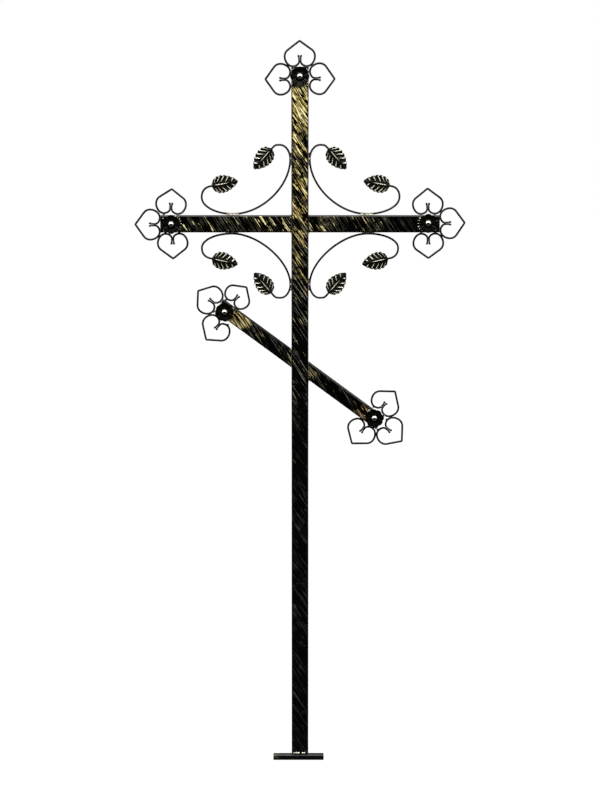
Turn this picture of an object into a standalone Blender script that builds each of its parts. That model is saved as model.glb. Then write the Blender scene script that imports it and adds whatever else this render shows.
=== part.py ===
"""Wrought iron grave cross, as separate welded pieces.

Square tube makes the upright, the crossbar's two arms and the slanted bar's two arms. Bent wire
makes three hearts round each of the five ends and a scroll in each corner of the crossing. Each
end carries a stamped rosette, and each scroll ends in two stamped leaves.

Metres, +Z up, front facing -Y. The origin is the middle of the upright's lower end.
"""

import math

import bmesh
import bpy
import numpy as np
from mathutils import Matrix, Vector

# Square tube: the crossbar hangs below the upright's top, and the slanted bar below the crossbar
GAP = 0.0003
TUBE = 0.050
TUBE_CORNER = 0.005
CORNER_STEPS = 3
UPRIGHT_HEIGHT = 2.052
CROSSBAR_DROP = 0.444
CROSSBAR_LENGTH = 0.808
SLANTED_TUBE = 0.042
SLANTED_DROP = 0.410
SLANTED_LENGTH = 0.587
SLANTED_FALL = 36.4
SMOOTH_ANGLE = 35

# Bar across the foot, welded to the upright's front face
FOOT_LENGTH = 0.152
FOOT_DEPTH = 0.020
FOOT_HEIGHT = 0.015
FOOT_OFFSET = -0.0045
FOOT_EDGE = 0.0015

# Round wire of hearts and scrolls
WIRE = 0.006
WIRE_SIDES_STEP = 1

# Heart, from its waist round one lobe to its tip
LOBE_RADIUS = 0.0202
LOBE_INNER_TURN = 49
LOBE_OUTER_TURN = 45
SIDE_RADIUS = 0.031
SIDE_TURN = 45
SHOULDER_RADIUS = 0.023
TIP_RADIUS = 0.003
WAIST_WIRE = 0.0048
WAIST_BEND_RADIUS = 0.009
WAIST_LENGTH = 0.0085
FLARE_RADIUS = 0.0217
FLARE_TURN = 28
ARC_STEPS = 2
TIGHT_STEPS = 1
THIN_POINTS = 3
DENSE_SPACING = 0.001
SETTLE_STEP = 0.0001

# Each heart: its place in from the tube's end or off its middle, least height, lean, tip half angle, size
HEARTS = {
    "top": {
        "end": (0, 0, -1, 54, 1),
        "left": (0.030, 0, 0, 54, 1),
        "right": (0.0295, 0, 0.5, 54, 1),
    },
    "left": {
        "end": (-0.003, 0, 1, 54, 1),
        "lower": (0.0265, 0, -1, 53, 1),
        "upper": (0.028, 0, 3.5, 55, 1),
    },
    "right": {
        "end": (-0.0005, 0, -1.8, 54.5, 1),
        "upper": (0.0308, 0, -1.5, 52.5, 1),
        "lower": (0.0285, 0, -0.8, 54.5, 1),
    },
    "slanted_upper": {
        "end": (-0.005, 0, 1.5, 55, 1),
        "below": (0.0325, 0.009, 4.5, 53, 1),
        "above": (0.0255, 0, 7, 55, 0.9),
    },
    "slanted_lower": {
        "end": (0, 0.008, 3.8, 51, 1),
        "above": (0.0208, 0.0045, 2.9, 52, 1),
        "below": (0.0185, 0.001, 1.2, 52, 1),
    },
}

# Scrolls: where each touches the upright and the crossbar, and how far its curls reach from there
UPPER_SCROLL = {
    "upright_reach": 0.1855,
    "crossbar_reach": 0.1945,
    "inner_curl": (0.0297, 0.0403),
    "inner_end": (0.0533, 0.0293),
    "inner_heading": 138,
    "outer_curl": (0.0940, 0.0482),
    "outer_end": (0.0659, 0.0806),
    "outer_heading": -79.5,
    "sweep": 0.50,
}
UPPER_LEFT_SCROLL = dict(UPPER_SCROLL, outer_curl=(0.0905, 0.0475), outer_end=(0.0615, 0.0800))
LOWER_SCROLL = {
    "upright_reach": 0.1756,
    "crossbar_reach": 0.1978,
    "inner_curl": (0.0287, 0.0393),
    "inner_end": (0.0550, 0.0256),
    "inner_heading": 139.5,
    "outer_curl": (0.0880, 0.0415),
    "outer_end": (0.0592, 0.0725),
    "outer_heading": -78,
    "sweep": 0.455,
}
LEAF_STEM = 0.004
CURL_FULLNESS = 0.55
INNER_TURN_STEPS = 3
OUTER_TURN_STEPS = 4
CURL_STEPS = 5
SWEEP_STEPS = 10

# Stamped leaf
LEAF_LENGTH = 0.078
LEAF_WIDTH = 0.052
LEAF_BASE = 0.006
LEAF_SHEET = 0.0016
LEAF_TEETH = 6
LEAF_NOTCH = 0.84
LEAF_RIDGE = 0.0030
LEAF_RIDGE_TAPER = 0.7
LEAF_PLEAT = 0.0009
LEAF_BASE_POWER = 0.50
LEAF_TIP_POWER = 0.82
LEAF_VEIN_SLANT = 0.55
LEAF_SMOOTH_ANGLE = 20

# Stamped rosette on the front face of the tube, with each one's place in from the end and off the middle
ROSETTE_PLACES = {
    "top": (0.0285, -0.0006),
    "left": (0.032, -0.002),
    "right": (0.034, -0.001),
    "slanted_upper": (0.025, -0.006),
    "slanted_lower": (0.0245, -0.003),
}
ROSETTE_RADIUS = 0.0275
ROSETTE_PETALS = 8
ROSETTE_NOTCH = 0.89
ROSETTE_SHOULDER = 0.95
ROSETTE_SEAT_RADIUS = 0.017
ROSETTE_SHEET = 0.0018
ROSETTE_RIM_RISE = 0.0065
ROSETTE_DISH_RADIUS = 0.0135
ROSETTE_DISH_RISE = 0.0030
DOME_RADIUS = 0.0088
DOME_RISE = 0.0110
DOME_BASE_RISE = 0.0045
DOME_SHOULDER = 40
ROSETTE_SMOOTH_ANGLE = 40

# Finishes: colour, roughness and metallic share
GOLD_BRUSHED_ENAMEL = ((0.045, 0.040, 0.022), 0.32, 0.6)
BLACK_ENAMEL = ((0.014, 0.014, 0.013), 0.30, 0.3)
WIRE_ENAMEL = ((0.040, 0.040, 0.040), 0.35, 0.5)
LEAF_ENAMEL = ((0.060, 0.058, 0.050), 0.38, 0.6)
ROSETTE_ENAMEL = ((0.020, 0.020, 0.018), 0.22, 0.5)

CROSSBAR_LEVEL = UPRIGHT_HEIGHT - CROSSBAR_DROP
SLANTED_LEVEL = CROSSBAR_LEVEL - SLANTED_DROP
WIRE_RADIUS = WIRE / 2
WIRE_STANDOFF = WIRE_RADIUS + GAP
WIRE_SPACING = WIRE + GAP
UPRIGHT_SIDE = TUBE / 2 + GAP


def clear_scene():
    """Start from an empty scene."""
    for item in list(bpy.data.objects):
        bpy.data.objects.remove(item, do_unlink=True)


def enamel(name, finish):
    """One painted finish."""
    colour, roughness, metallic = finish
    material = bpy.data.materials.new(name)
    material.use_nodes = True
    shader = material.node_tree.nodes["Principled BSDF"]
    shader.inputs["Base Color"].default_value = (*colour, 1.0)
    shader.inputs["Roughness"].default_value = roughness
    shader.inputs["Metallic"].default_value = metallic
    return material


def add_object(name, data, material, location=(0, 0, 0), turn=0.0):
    """Place one piece, turned about Y so that its own +Z leans by turn degrees towards +X."""
    data.materials.append(material)
    item = bpy.data.objects.new(name, data)
    item.location = location
    item.rotation_euler = (0, math.radians(turn), 0)
    bpy.context.scene.collection.objects.link(item)
    return item


def add_bmesh(name, shape, material, location=(0, 0, 0), turn=0.0, smooth_angle=None):
    """Turn a bmesh into a placed piece, smooth shaded up to an edge angle in degrees."""
    bmesh.ops.recalc_face_normals(shape, faces=shape.faces)
    mesh = bpy.data.meshes.new(name)
    shape.to_mesh(mesh)
    shape.free()
    if smooth_angle is not None:
        mesh.shade_smooth()
        mesh.set_sharp_from_angle(angle=math.radians(smooth_angle))
    return add_object(name, mesh, material, location, turn)


def direction(heading):
    """Unit vector in the plane of the cross, heading degrees from +Z towards +X."""
    angle = math.radians(heading)
    return Vector((math.sin(angle), 0, math.cos(angle)))


def rounded_square(width):
    """Outline of the tube's section, corner by corner."""
    inner = width / 2 - TUBE_CORNER
    outline = []
    for corner in range(4):
        middle = math.radians(45 + 90 * corner)
        centre_x = math.copysign(inner, math.cos(middle))
        centre_y = math.copysign(inner, math.sin(middle))
        for step in range(CORNER_STEPS + 1):
            angle = math.radians(90 * corner + 90 * step / CORNER_STEPS)
            x = centre_x + TUBE_CORNER * math.cos(angle)
            y = centre_y + TUBE_CORNER * math.sin(angle)
            outline.append((x, y))
    return outline


def tube_shape(width, length):
    """Square tube with closed ends, from the origin up its own +Z."""
    shape = bmesh.new()
    section = [shape.verts.new((x, y, 0)) for x, y in rounded_square(width)]
    face = shape.faces.new(section)
    lengthened = bmesh.ops.extrude_face_region(shape, geom=[face])
    moved = [item for item in lengthened["geom"] if isinstance(item, bmesh.types.BMVert)]
    bmesh.ops.translate(shape, verts=moved, vec=(0, 0, length))
    return shape


def add_upright(material):
    """The one length of tube that carries everything."""
    shape = tube_shape(TUBE, UPRIGHT_HEIGHT)
    add_bmesh("upright", shape, material, smooth_angle=SMOOTH_ANGLE)


def add_arm(name, material, width, depth_place, level, reach, heading):
    """Tube from the middle of the upright outwards, cut off flat against the upright's side."""
    shape = tube_shape(width, reach)
    side = math.copysign(1, direction(heading).x)
    to_own_axes = Matrix.Rotation(-math.radians(heading), 3, "Y")
    cut_point = to_own_axes @ Vector((side * UPRIGHT_SIDE, 0, 0))
    cut_normal = to_own_axes @ Vector((side, 0, 0))
    every_part = shape.verts[:] + shape.edges[:] + shape.faces[:]
    bmesh.ops.bisect_plane(shape, geom=every_part, plane_co=cut_point, plane_no=cut_normal, clear_inner=True)
    open_edges = [edge for edge in shape.edges if edge.is_boundary]
    bmesh.ops.contextual_create(shape, geom=open_edges)
    add_bmesh(name, shape, material, (0, depth_place, level), heading, smooth_angle=SMOOTH_ANGLE)


def add_foot_bar(material):
    """Short bar across the front of the upright's lower end."""
    shape = bmesh.new()
    bmesh.ops.create_cube(shape, size=1.0)
    bmesh.ops.scale(shape, verts=shape.verts, vec=(FOOT_LENGTH, FOOT_DEPTH, FOOT_HEIGHT))
    depth_place = -TUBE / 2 - GAP - FOOT_DEPTH / 2
    item = add_bmesh("foot_bar", shape, material, (FOOT_OFFSET, depth_place, FOOT_HEIGHT / 2))
    bevel = item.modifiers.new("worn_edges", "BEVEL")
    bevel.width = FOOT_EDGE
    bevel.segments = 1


def wire_piece(name, route, material, location=(0, 0, 0), turn=0.0, thin_points=0):
    """Round wire along a flat route of (x, z) points, drawn thinner over its first and last few."""
    curve = bpy.data.curves.new(name, "CURVE")
    curve.dimensions = "3D"
    curve.bevel_depth = WIRE_RADIUS
    curve.bevel_resolution = WIRE_SIDES_STEP
    curve.use_fill_caps = True
    spline = curve.splines.new("POLY")
    spline.points.add(len(route) - 1)
    for index, (x, z) in enumerate(route):
        spline.points[index].co = (x, 0, z, 1)
        if min(index, len(route) - 1 - index) < thin_points:
            spline.points[index].radius = WAIST_WIRE / WIRE
    return add_object(name, curve, material, location, turn)


def bend(route, heading, radius, turn, steps):
    """Add an arc to the route, turning towards +X where turn is positive, and return the new heading."""
    side = math.copysign(1, turn)
    x, z = route[-1]
    start = math.radians(heading)
    centre = (x + side * radius * math.cos(start), z - side * radius * math.sin(start))
    for step in range(1, steps + 1):
        angle = math.radians(heading + turn * step / steps)
        route.append((centre[0] - side * radius * math.cos(angle), centre[1] + side * radius * math.sin(angle)))
    return heading + turn


def run(route, heading, length):
    """Add a straight stretch to the route."""
    x, z = route[-1]
    angle = math.radians(heading)
    route.append((x + length * math.sin(angle), z + length * math.cos(angle)))


def heart_route(tip_half_angle, size):
    """Middle line of a heart that stands on z = 0 with its axis up, from one flared end to the other."""
    lobe_radius = LOBE_RADIUS * size
    waist = (WAIST_WIRE + GAP) / 2
    waist_turn = 90 - LOBE_INNER_TURN
    lobe_place = (
        waist
        + lobe_radius * math.sin(math.radians(LOBE_INNER_TURN))
        + WAIST_BEND_RADIUS * (1 - math.cos(math.radians(waist_turn)))
    )
    lowest = (lobe_place, WIRE_STANDOFF)

    inward = [lowest]
    heading = bend(inward, -90, lobe_radius, LOBE_INNER_TURN, ARC_STEPS)
    heading = bend(inward, heading, WAIST_BEND_RADIUS, waist_turn, TIGHT_STEPS)
    run(inward, heading, WAIST_LENGTH)
    bend(inward, heading, FLARE_RADIUS, FLARE_TURN, TIGHT_STEPS)

    outward = [lowest]
    heading = bend(outward, 90, lobe_radius, -LOBE_OUTER_TURN, ARC_STEPS)
    heading = bend(outward, heading, SIDE_RADIUS * size, -SIDE_TURN, ARC_STEPS)
    heading = bend(outward, heading, SHOULDER_RADIUS * size, -(heading + tip_half_angle), ARC_STEPS)
    tip_bend_width = TIP_RADIUS * math.cos(math.radians(tip_half_angle))
    run(outward, heading, (outward[-1][0] - tip_bend_width) / math.sin(math.radians(tip_half_angle)))
    bend(outward, heading, TIP_RADIUS, -(heading + 90), TIGHT_STEPS)

    half = inward[:0:-1] + outward[:-1]
    tip = (0.0, outward[-1][1])
    return half + [tip] + [(-x, z) for x, z in reversed(half)]


def flat(vector):
    """The x and z of a vector."""
    return np.array((vector.x, vector.z))


def dense(route, heading):
    """The turned route with its points close together."""
    points = []
    for start, end in zip(route[:-1], route[1:]):
        start = np.array(start)
        end = np.array(end)
        count = max(1, int(np.linalg.norm(end - start) / DENSE_SPACING))
        points.extend(start + (end - start) * step / count for step in range(count))
    return np.array(points) @ np.array((flat(direction(heading + 90)), flat(direction(heading))))


def tube_distance(points, end, heading, width):
    """How close these points come to the tube that stops at this end."""
    along = (points - flat(end)) @ flat(direction(heading))
    across = np.abs((points - flat(end)) @ flat(direction(heading + 90)))
    return np.hypot(np.maximum(along, 0), np.maximum(across - width / 2, 0)).min()


def settle(points, seat, way, end, heading, width, neighbour):
    """Raise a heart off the tube, and move it in from the heart beyond the end, until it touches neither."""
    while True:
        placed = points + flat(seat)
        if tube_distance(placed, end, heading, width) < WIRE_STANDOFF:
            seat = seat + way * SETTLE_STEP
        elif neighbour is not None and np.linalg.norm(placed[:, None] - neighbour, axis=2).min() < WIRE_SPACING:
            seat = seat - direction(heading) * SETTLE_STEP
        else:
            return seat


def add_hearts(end_name, side_names, material, end, heading, width):
    """Three hearts round one end: one beyond it and one on each side."""
    end_heart = None
    for name, quarter in (("end", 0), (side_names[0], -90), (side_names[1], 90)):
        place, lift, lean, tip_half_angle, size = HEARTS[end_name][name]
        way = direction(heading + quarter)
        if quarter:
            seat = end - direction(heading) * place + way * (width / 2 + lift)
        else:
            seat = end + direction(heading + 90) * place + way * lift
        route = heart_route(tip_half_angle, size)
        points = dense(route, heading + quarter + lean)
        seat = settle(points, seat, way, end, heading, width, end_heart)
        if end_heart is None:
            end_heart = points + flat(seat)
        wire_piece(f"heart_{end_name}_{name}", route, material, seat, heading + quarter + lean, THIN_POINTS)


def rosette_rings():
    """Rings of the rosette from the dome's top out over the rim and back under it to the seat."""
    petal = (1.0, ROSETTE_SHOULDER, ROSETTE_NOTCH, ROSETTE_SHOULDER)
    rim = [ROSETTE_RADIUS * share for share in petal * ROSETTE_PETALS]
    count = len(rim)
    shoulder = math.radians(DOME_SHOULDER)
    shoulder_rise = DOME_BASE_RISE + (DOME_RISE - DOME_BASE_RISE) * math.sin(shoulder)
    return [
        ([DOME_RADIUS * math.cos(shoulder)] * count, shoulder_rise),
        ([DOME_RADIUS] * count, DOME_BASE_RISE),
        ([ROSETTE_DISH_RADIUS] * count, ROSETTE_DISH_RISE),
        (rim, ROSETTE_RIM_RISE),
        ([radius - ROSETTE_SHEET for radius in rim], ROSETTE_RIM_RISE - ROSETTE_SHEET),
        ([ROSETTE_SEAT_RADIUS] * count, 0.0),
    ]


def add_rosette(end_name, material, end, heading, front):
    """Eight-petalled stamping with a dome, seated on the tube's front face."""
    shape = bmesh.new()
    rings = []
    for radii, rise in rosette_rings():
        ring = []
        for index, radius in enumerate(radii):
            angle = 2 * math.pi * index / len(radii)
            ring.append(shape.verts.new((radius * math.sin(angle), -rise, radius * math.cos(angle))))
        rings.append(ring)
    top = shape.verts.new((0, -DOME_RISE, 0))
    first = rings[0]
    for index, vertex in enumerate(first):
        shape.faces.new((top, vertex, first[index - 1]))
    for inner, outer in zip(rings[:-1], rings[1:]):
        for index in range(len(inner)):
            shape.faces.new((inner[index - 1], inner[index], outer[index], outer[index - 1]))
    shape.faces.new(rings[-1])
    inset, offset = ROSETTE_PLACES[end_name]
    seat = end - direction(heading) * inset + direction(heading + 90) * offset
    seat.y = front - GAP
    add_bmesh(f"rosette_{end_name}", shape, material, seat, heading, smooth_angle=ROSETTE_SMOOTH_ANGLE)


def leaf_half_width(along):
    """Half width of the leaf at a share of its length, before its teeth."""
    peak = LEAF_BASE_POWER / (LEAF_BASE_POWER + LEAF_TIP_POWER)
    fullest = peak ** LEAF_BASE_POWER * (1 - peak) ** LEAF_TIP_POWER
    return LEAF_WIDTH / 2 * along ** LEAF_BASE_POWER * (1 - along) ** LEAF_TIP_POWER / fullest


def leaf_stations():
    """Midrib place, edge place, edge half width and edge height at each vein end and notch."""
    last = 2 * LEAF_TEETH + 1
    stations = [(0.0, 0.0, LEAF_BASE / 2, 0.0)]
    for index in range(1, last):
        along = index / last
        is_tooth = index % 2 == 1
        share = 1.0 if is_tooth else LEAF_NOTCH
        height = LEAF_PLEAT if is_tooth else -LEAF_PLEAT
        midrib = along * (1 - LEAF_VEIN_SLANT * (1 - along))
        stations.append((midrib * LEAF_LENGTH, along * LEAF_LENGTH, leaf_half_width(along) * share, height))
    return stations


def leaf_layer(shape, offset):
    """One skin of the leaf: its midrib, its tip and its two toothed edges."""
    midrib = []
    edges = {1: [], -1: []}
    for midrib_place, edge_place, half_width, height in leaf_stations():
        ridge = LEAF_RIDGE * (1 - LEAF_RIDGE_TAPER * midrib_place / LEAF_LENGTH)
        midrib.append(shape.verts.new((0, offset - ridge, midrib_place)))
        for side in edges:
            edges[side].append(shape.verts.new((side * half_width, offset - height, edge_place)))
    tip = shape.verts.new((0, offset, LEAF_LENGTH))
    for side, edge in edges.items():
        for index in range(len(edge) - 1):
            corners = [midrib[index], midrib[index + 1], edge[index + 1], edge[index]]
            shape.faces.new(corners[::side])
        corners = [midrib[-1], tip, edge[-1]]
        shape.faces.new(corners[::side])
    return midrib, edges, tip


def add_leaf(name, material, seat, heading):
    """Toothed leaf of pleated sheet with a raised midrib, growing from the end of its wire."""
    shape = bmesh.new()
    front = leaf_layer(shape, -LEAF_SHEET / 2 + LEAF_RIDGE / 2)
    back = leaf_layer(shape, LEAF_SHEET / 2 + LEAF_RIDGE / 2)
    loops = []
    for midrib, edges, tip in (front, back):
        loops.append([midrib[0]] + edges[1] + [tip] + edges[-1][::-1])
    for index in range(len(loops[0])):
        shape.faces.new((loops[0][index - 1], loops[0][index], loops[1][index], loops[1][index - 1]))
    add_bmesh(name, shape, material, seat, heading, smooth_angle=LEAF_SMOOTH_ANGLE)


def curl(start, start_way, end, end_way, fullness, steps):
    """Points of a smooth bend from start to end, leaving and arriving along the given ways."""
    chord = end - start
    first = start + start_way * fullness * abs(chord.dot(start_way))
    second = end - end_way * fullness * abs(chord.dot(end_way))
    points = []
    for step in range(1, steps + 1):
        t = step / steps
        s = 1 - t
        points.append(start * s ** 3 + first * 3 * s * s * t + second * 3 * s * t * t + end * t ** 3)
    return points


def scroll_route(sizes):
    """Middle line of the upper right scroll from the crossing's centre, with its end headings."""
    touch = TUBE / 2 + WIRE_STANDOFF
    on_upright = Vector((touch, 0, sizes["upright_reach"]))
    on_crossbar = Vector((sizes["crossbar_reach"], 0, touch))
    up = Vector((0, 0, 1))
    right = Vector((1, 0, 0))
    inner_width, inner_height = sizes["inner_curl"]
    inner_end_x, inner_end_z = sizes["inner_end"]
    outer_width, outer_height = sizes["outer_curl"]
    outer_end_x, outer_end_z = sizes["outer_end"]
    inner_end = on_upright + Vector((inner_end_x, 0, inner_end_z))
    inner_top = on_upright + Vector((inner_width, 0, inner_height))
    outer_side = on_crossbar + Vector((outer_width, 0, outer_height))
    outer_end = on_crossbar + Vector((outer_end_x, 0, outer_end_z))
    inner_way = direction(sizes["inner_heading"])
    outer_way = direction(sizes["outer_heading"])
    inner_root = inner_end - inner_way * LEAF_STEM
    outer_root = outer_end - outer_way * LEAF_STEM
    route = [inner_end, inner_root]
    route += curl(inner_root, -inner_way, inner_top, -right, CURL_FULLNESS, INNER_TURN_STEPS)
    route += curl(inner_top, -right, on_upright, -up, CURL_FULLNESS, CURL_STEPS)
    route += curl(on_upright, -up, on_crossbar, right, sizes["sweep"], SWEEP_STEPS)
    route += curl(on_crossbar, right, outer_side, up, CURL_FULLNESS, CURL_STEPS)
    route += curl(outer_side, up, outer_root, outer_way, CURL_FULLNESS, OUTER_TURN_STEPS)
    route.append(outer_end)
    return route, inner_way, outer_way


def add_scroll(corner_name, sizes, flip_x, flip_z, wire_finish, leaf_finish):
    """One scroll in a corner of the crossing, with a leaf on each end."""
    centre = Vector((0, 0, CROSSBAR_LEVEL))
    flip = Matrix.Diagonal((flip_x, 1, flip_z))
    route, inner_way, outer_way = scroll_route(sizes)
    flipped = [flip @ point for point in route]
    wire_piece(f"scroll_{corner_name}", [(point.x, point.z) for point in flipped], wire_finish, centre)
    leaf_ends = (("inner", flipped[0], inner_way), ("outer", flipped[-1], outer_way))
    for leaf_name, wire_end, way in leaf_ends:
        way = flip @ way
        heading = math.degrees(math.atan2(way.x, way.z))
        add_leaf(f"leaf_{corner_name}_{leaf_name}", leaf_finish, centre + wire_end + way * GAP, heading)


def build():
    """Make every piece of the cross."""
    clear_scene()
    tube_finish = enamel("gold_brushed_enamel", GOLD_BRUSHED_ENAMEL)
    foot_finish = enamel("black_enamel", BLACK_ENAMEL)
    wire_finish = enamel("wire_enamel", WIRE_ENAMEL)
    leaf_finish = enamel("leaf_enamel", LEAF_ENAMEL)
    rosette_finish = enamel("rosette_enamel", ROSETTE_ENAMEL)

    front = -TUBE / 2
    slanted_depth = front + SLANTED_TUBE / 2
    half_crossbar = CROSSBAR_LENGTH / 2
    half_slanted = SLANTED_LENGTH / 2
    slant_up = SLANTED_FALL - 90
    slant_down = SLANTED_FALL + 90

    add_upright(tube_finish)
    add_foot_bar(foot_finish)
    add_arm("left_arm", tube_finish, TUBE, 0, CROSSBAR_LEVEL, half_crossbar, -90)
    add_arm("right_arm", tube_finish, TUBE, 0, CROSSBAR_LEVEL, half_crossbar, 90)
    for name, heading in (("slanted_arm_upper", slant_up), ("slanted_arm_lower", slant_down)):
        add_arm(name, tube_finish, SLANTED_TUBE, slanted_depth, SLANTED_LEVEL, half_slanted, heading)

    top = Vector((0, 0, UPRIGHT_HEIGHT))
    crossing = Vector((0, 0, CROSSBAR_LEVEL))
    slanted_middle = Vector((0, slanted_depth, SLANTED_LEVEL))
    ends = (
        ("top", ("left", "right"), top, 0, TUBE),
        ("left", ("lower", "upper"), crossing + direction(-90) * half_crossbar, -90, TUBE),
        ("right", ("upper", "lower"), crossing + direction(90) * half_crossbar, 90, TUBE),
        ("slanted_upper", ("below", "above"), slanted_middle + direction(slant_up) * half_slanted,
         slant_up, SLANTED_TUBE),
        ("slanted_lower", ("above", "below"), slanted_middle + direction(slant_down) * half_slanted,
         slant_down, SLANTED_TUBE),
    )
    for end_name, side_names, end, heading, width in ends:
        add_hearts(end_name, side_names, wire_finish, end, heading, width)
        add_rosette(end_name, rosette_finish, end, heading, front)

    corners = (
        ("upper_left", UPPER_LEFT_SCROLL, -1, 1),
        ("upper_right", UPPER_SCROLL, 1, 1),
        ("lower_left", LOWER_SCROLL, -1, -1),
        ("lower_right", LOWER_SCROLL, 1, -1),
    )
    for corner_name, sizes, flip_x, flip_z in corners:
        add_scroll(corner_name, sizes, flip_x, flip_z, wire_finish, leaf_finish)


build()
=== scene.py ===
"""Wrought iron grave cross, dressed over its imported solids.

Square tube under black enamel brushed with gold, bent wire hearts and scrolls, stamped leaves and
rosettes, and the weld beads that hold them together. Metres, +Z up, front facing -Y.
"""

import math

import bmesh
import bpy
import numpy as np
from mathutils import Matrix, Vector


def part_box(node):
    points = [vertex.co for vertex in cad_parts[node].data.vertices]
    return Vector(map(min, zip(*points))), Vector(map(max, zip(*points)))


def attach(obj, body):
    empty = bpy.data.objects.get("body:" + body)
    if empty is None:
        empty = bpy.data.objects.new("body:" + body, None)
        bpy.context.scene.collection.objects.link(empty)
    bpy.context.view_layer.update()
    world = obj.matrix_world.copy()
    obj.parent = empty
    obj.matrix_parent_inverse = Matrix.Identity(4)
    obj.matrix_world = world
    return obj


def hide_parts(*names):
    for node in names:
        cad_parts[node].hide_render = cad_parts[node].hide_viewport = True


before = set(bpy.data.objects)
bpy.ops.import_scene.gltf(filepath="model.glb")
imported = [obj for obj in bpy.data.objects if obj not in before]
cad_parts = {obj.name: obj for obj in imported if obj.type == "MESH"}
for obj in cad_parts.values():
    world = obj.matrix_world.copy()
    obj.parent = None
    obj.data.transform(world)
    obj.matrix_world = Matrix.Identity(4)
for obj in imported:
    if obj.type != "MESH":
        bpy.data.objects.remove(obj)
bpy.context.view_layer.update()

# Gap between neighbouring pieces, and the angle from which an edge stays sharp
GAP = 0.0003
SHARP_ANGLE = 50

# Square tube
TUBE = 0.050
TUBE_CORNER = 0.005
CORNER_STEPS = 6
CORNER_HOLD = 0.0012
TUBE_EASE = 0.0012
EASE_STEPS = 3
EASE_HOLD = 0.001
UPRIGHT_HEIGHT = 2.052
CROSSBAR_LEVEL = UPRIGHT_HEIGHT - 0.444
CROSSBAR_LENGTH = 0.808
SLANTED_TUBE = 0.042
SLANTED_LEVEL = CROSSBAR_LEVEL - 0.410
SLANTED_LENGTH = 0.587
SLANTED_FALL = 36.4
SLANTED_DEPTH = (SLANTED_TUBE - TUBE) / 2
UPRIGHT_SIDE = TUBE / 2 + GAP
FRONT = -TUBE / 2
SLANT_UP = SLANTED_FALL - 90
SLANT_DOWN = SLANTED_FALL + 90

# Bar across the foot
FOOT_LENGTH = 0.152
FOOT_DEPTH = 0.020
FOOT_HEIGHT = 0.015
FOOT_OFFSET = -0.0045
FOOT_EASE = 0.0016
FOOT_EASE_STEPS = 4
FOOT_WORN_END = -0.072
FOOT_WORN_RUN = 0.020

# Round wire and the heart bent from it; the waist's taper says from where and over how much
WIRE = 0.006
WIRE_SIDES = 14
LOBE_RADIUS = 0.0202
LOBE_INNER_TURN = 49
LOBE_OUTER_TURN = 45
SIDE_RADIUS = 0.031
SIDE_TURN = 45
SHOULDER_RADIUS = 0.023
TIP_RADIUS = 0.003
WAIST_WIRE = 0.0048
WAIST_BEND_RADIUS = 0.009
WAIST_LENGTH = 0.0085
WAIST_TAPER = (0.0145, 0.012)
FLARE_RADIUS = 0.0217
FLARE_TURN = 28
FLARE_BALL = 0.0074
FLARE_BALL_LENGTH = 0.0085
FLARE_NOSE = FLARE_BALL * 0.45
NOSE_TIP_SHARE = 0.02
BEND_STEPS = 10
FLARE_STEPS = 8
TIP_STEPS = 5
RUN_STEPS = 6

# Each heart: its lean, tip half angle and size
HEARTS = {
    "top": {"end": (-1, 54, 1), "left": (0, 54, 1), "right": (0.5, 54, 1)},
    "left": {"end": (1, 54, 1), "lower": (-1, 53, 1), "upper": (3.5, 55, 1)},
    "right": {"end": (-1.8, 54.5, 1), "upper": (-1.5, 52.5, 1), "lower": (-0.8, 54.5, 1)},
    "slanted_upper": {"end": (1.5, 55, 1), "below": (4.5, 53, 1), "above": (7, 55, 0.9)},
    "slanted_lower": {"end": (3.8, 51, 1), "above": (2.9, 52, 1), "below": (1.2, 52, 1)},
}

# Scrolls: where each touches the upright and the crossbar, and how far its curls reach from there
UPPER_SCROLL = {
    "upright_reach": 0.1855,
    "crossbar_reach": 0.1945,
    "inner_curl": (0.0297, 0.0403),
    "inner_end": (0.0533, 0.0293),
    "inner_heading": 138,
    "outer_curl": (0.0940, 0.0482),
    "outer_end": (0.0659, 0.0806),
    "outer_heading": -79.5,
    "sweep": 0.50,
}
UPPER_LEFT_SCROLL = dict(UPPER_SCROLL, outer_curl=(0.0905, 0.0475), outer_end=(0.0615, 0.0800))
LOWER_SCROLL = {
    "upright_reach": 0.1756,
    "crossbar_reach": 0.1978,
    "inner_curl": (0.0287, 0.0393),
    "inner_end": (0.0550, 0.0256),
    "inner_heading": 139.5,
    "outer_curl": (0.0880, 0.0415),
    "outer_end": (0.0592, 0.0725),
    "outer_heading": -78,
    "sweep": 0.455,
}
CURL_FULLNESS = 0.55
SCROLL_STEPS = (14, 18, 40, 20, 16)

# Stamped leaf
LEAF_STEM = 0.004
LEAF_LENGTH = 0.078
LEAF_WIDTH = 0.052
LEAF_BASE = 0.006
LEAF_BASE_RUN = 1 / 14
LEAF_SHEET = 0.0016
LEAF_EDGE_THINNING = 0.45
LEAF_TEETH = 6.5
LEAF_NOTCH = 0.84
LEAF_BASE_POWER = 0.50
LEAF_TIP_POWER = 0.82
LEAF_ROWS = 156
LEAF_COLUMNS = 14
LEAF_JOIN = 0.00001

# The leaf's relief: midrib ridge, pleats and the fine veins on their crests
LEAF_RIDGE = 0.0030
LEAF_RIDGE_LOSS = 0.7
LEAF_RIDGE_POWER = 1.5
LEAF_PLEAT = 0.0009
LEAF_PLEAT_POWER = 0.6
LEAF_VEIN = 0.0006
LEAF_VEIN_SLANT = 0.85
LEAF_VEIN_BOW = 1.35
LEAF_VEIN_WIDTH = 0.10
LEAF_VEIN_START = 1 / 6

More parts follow.
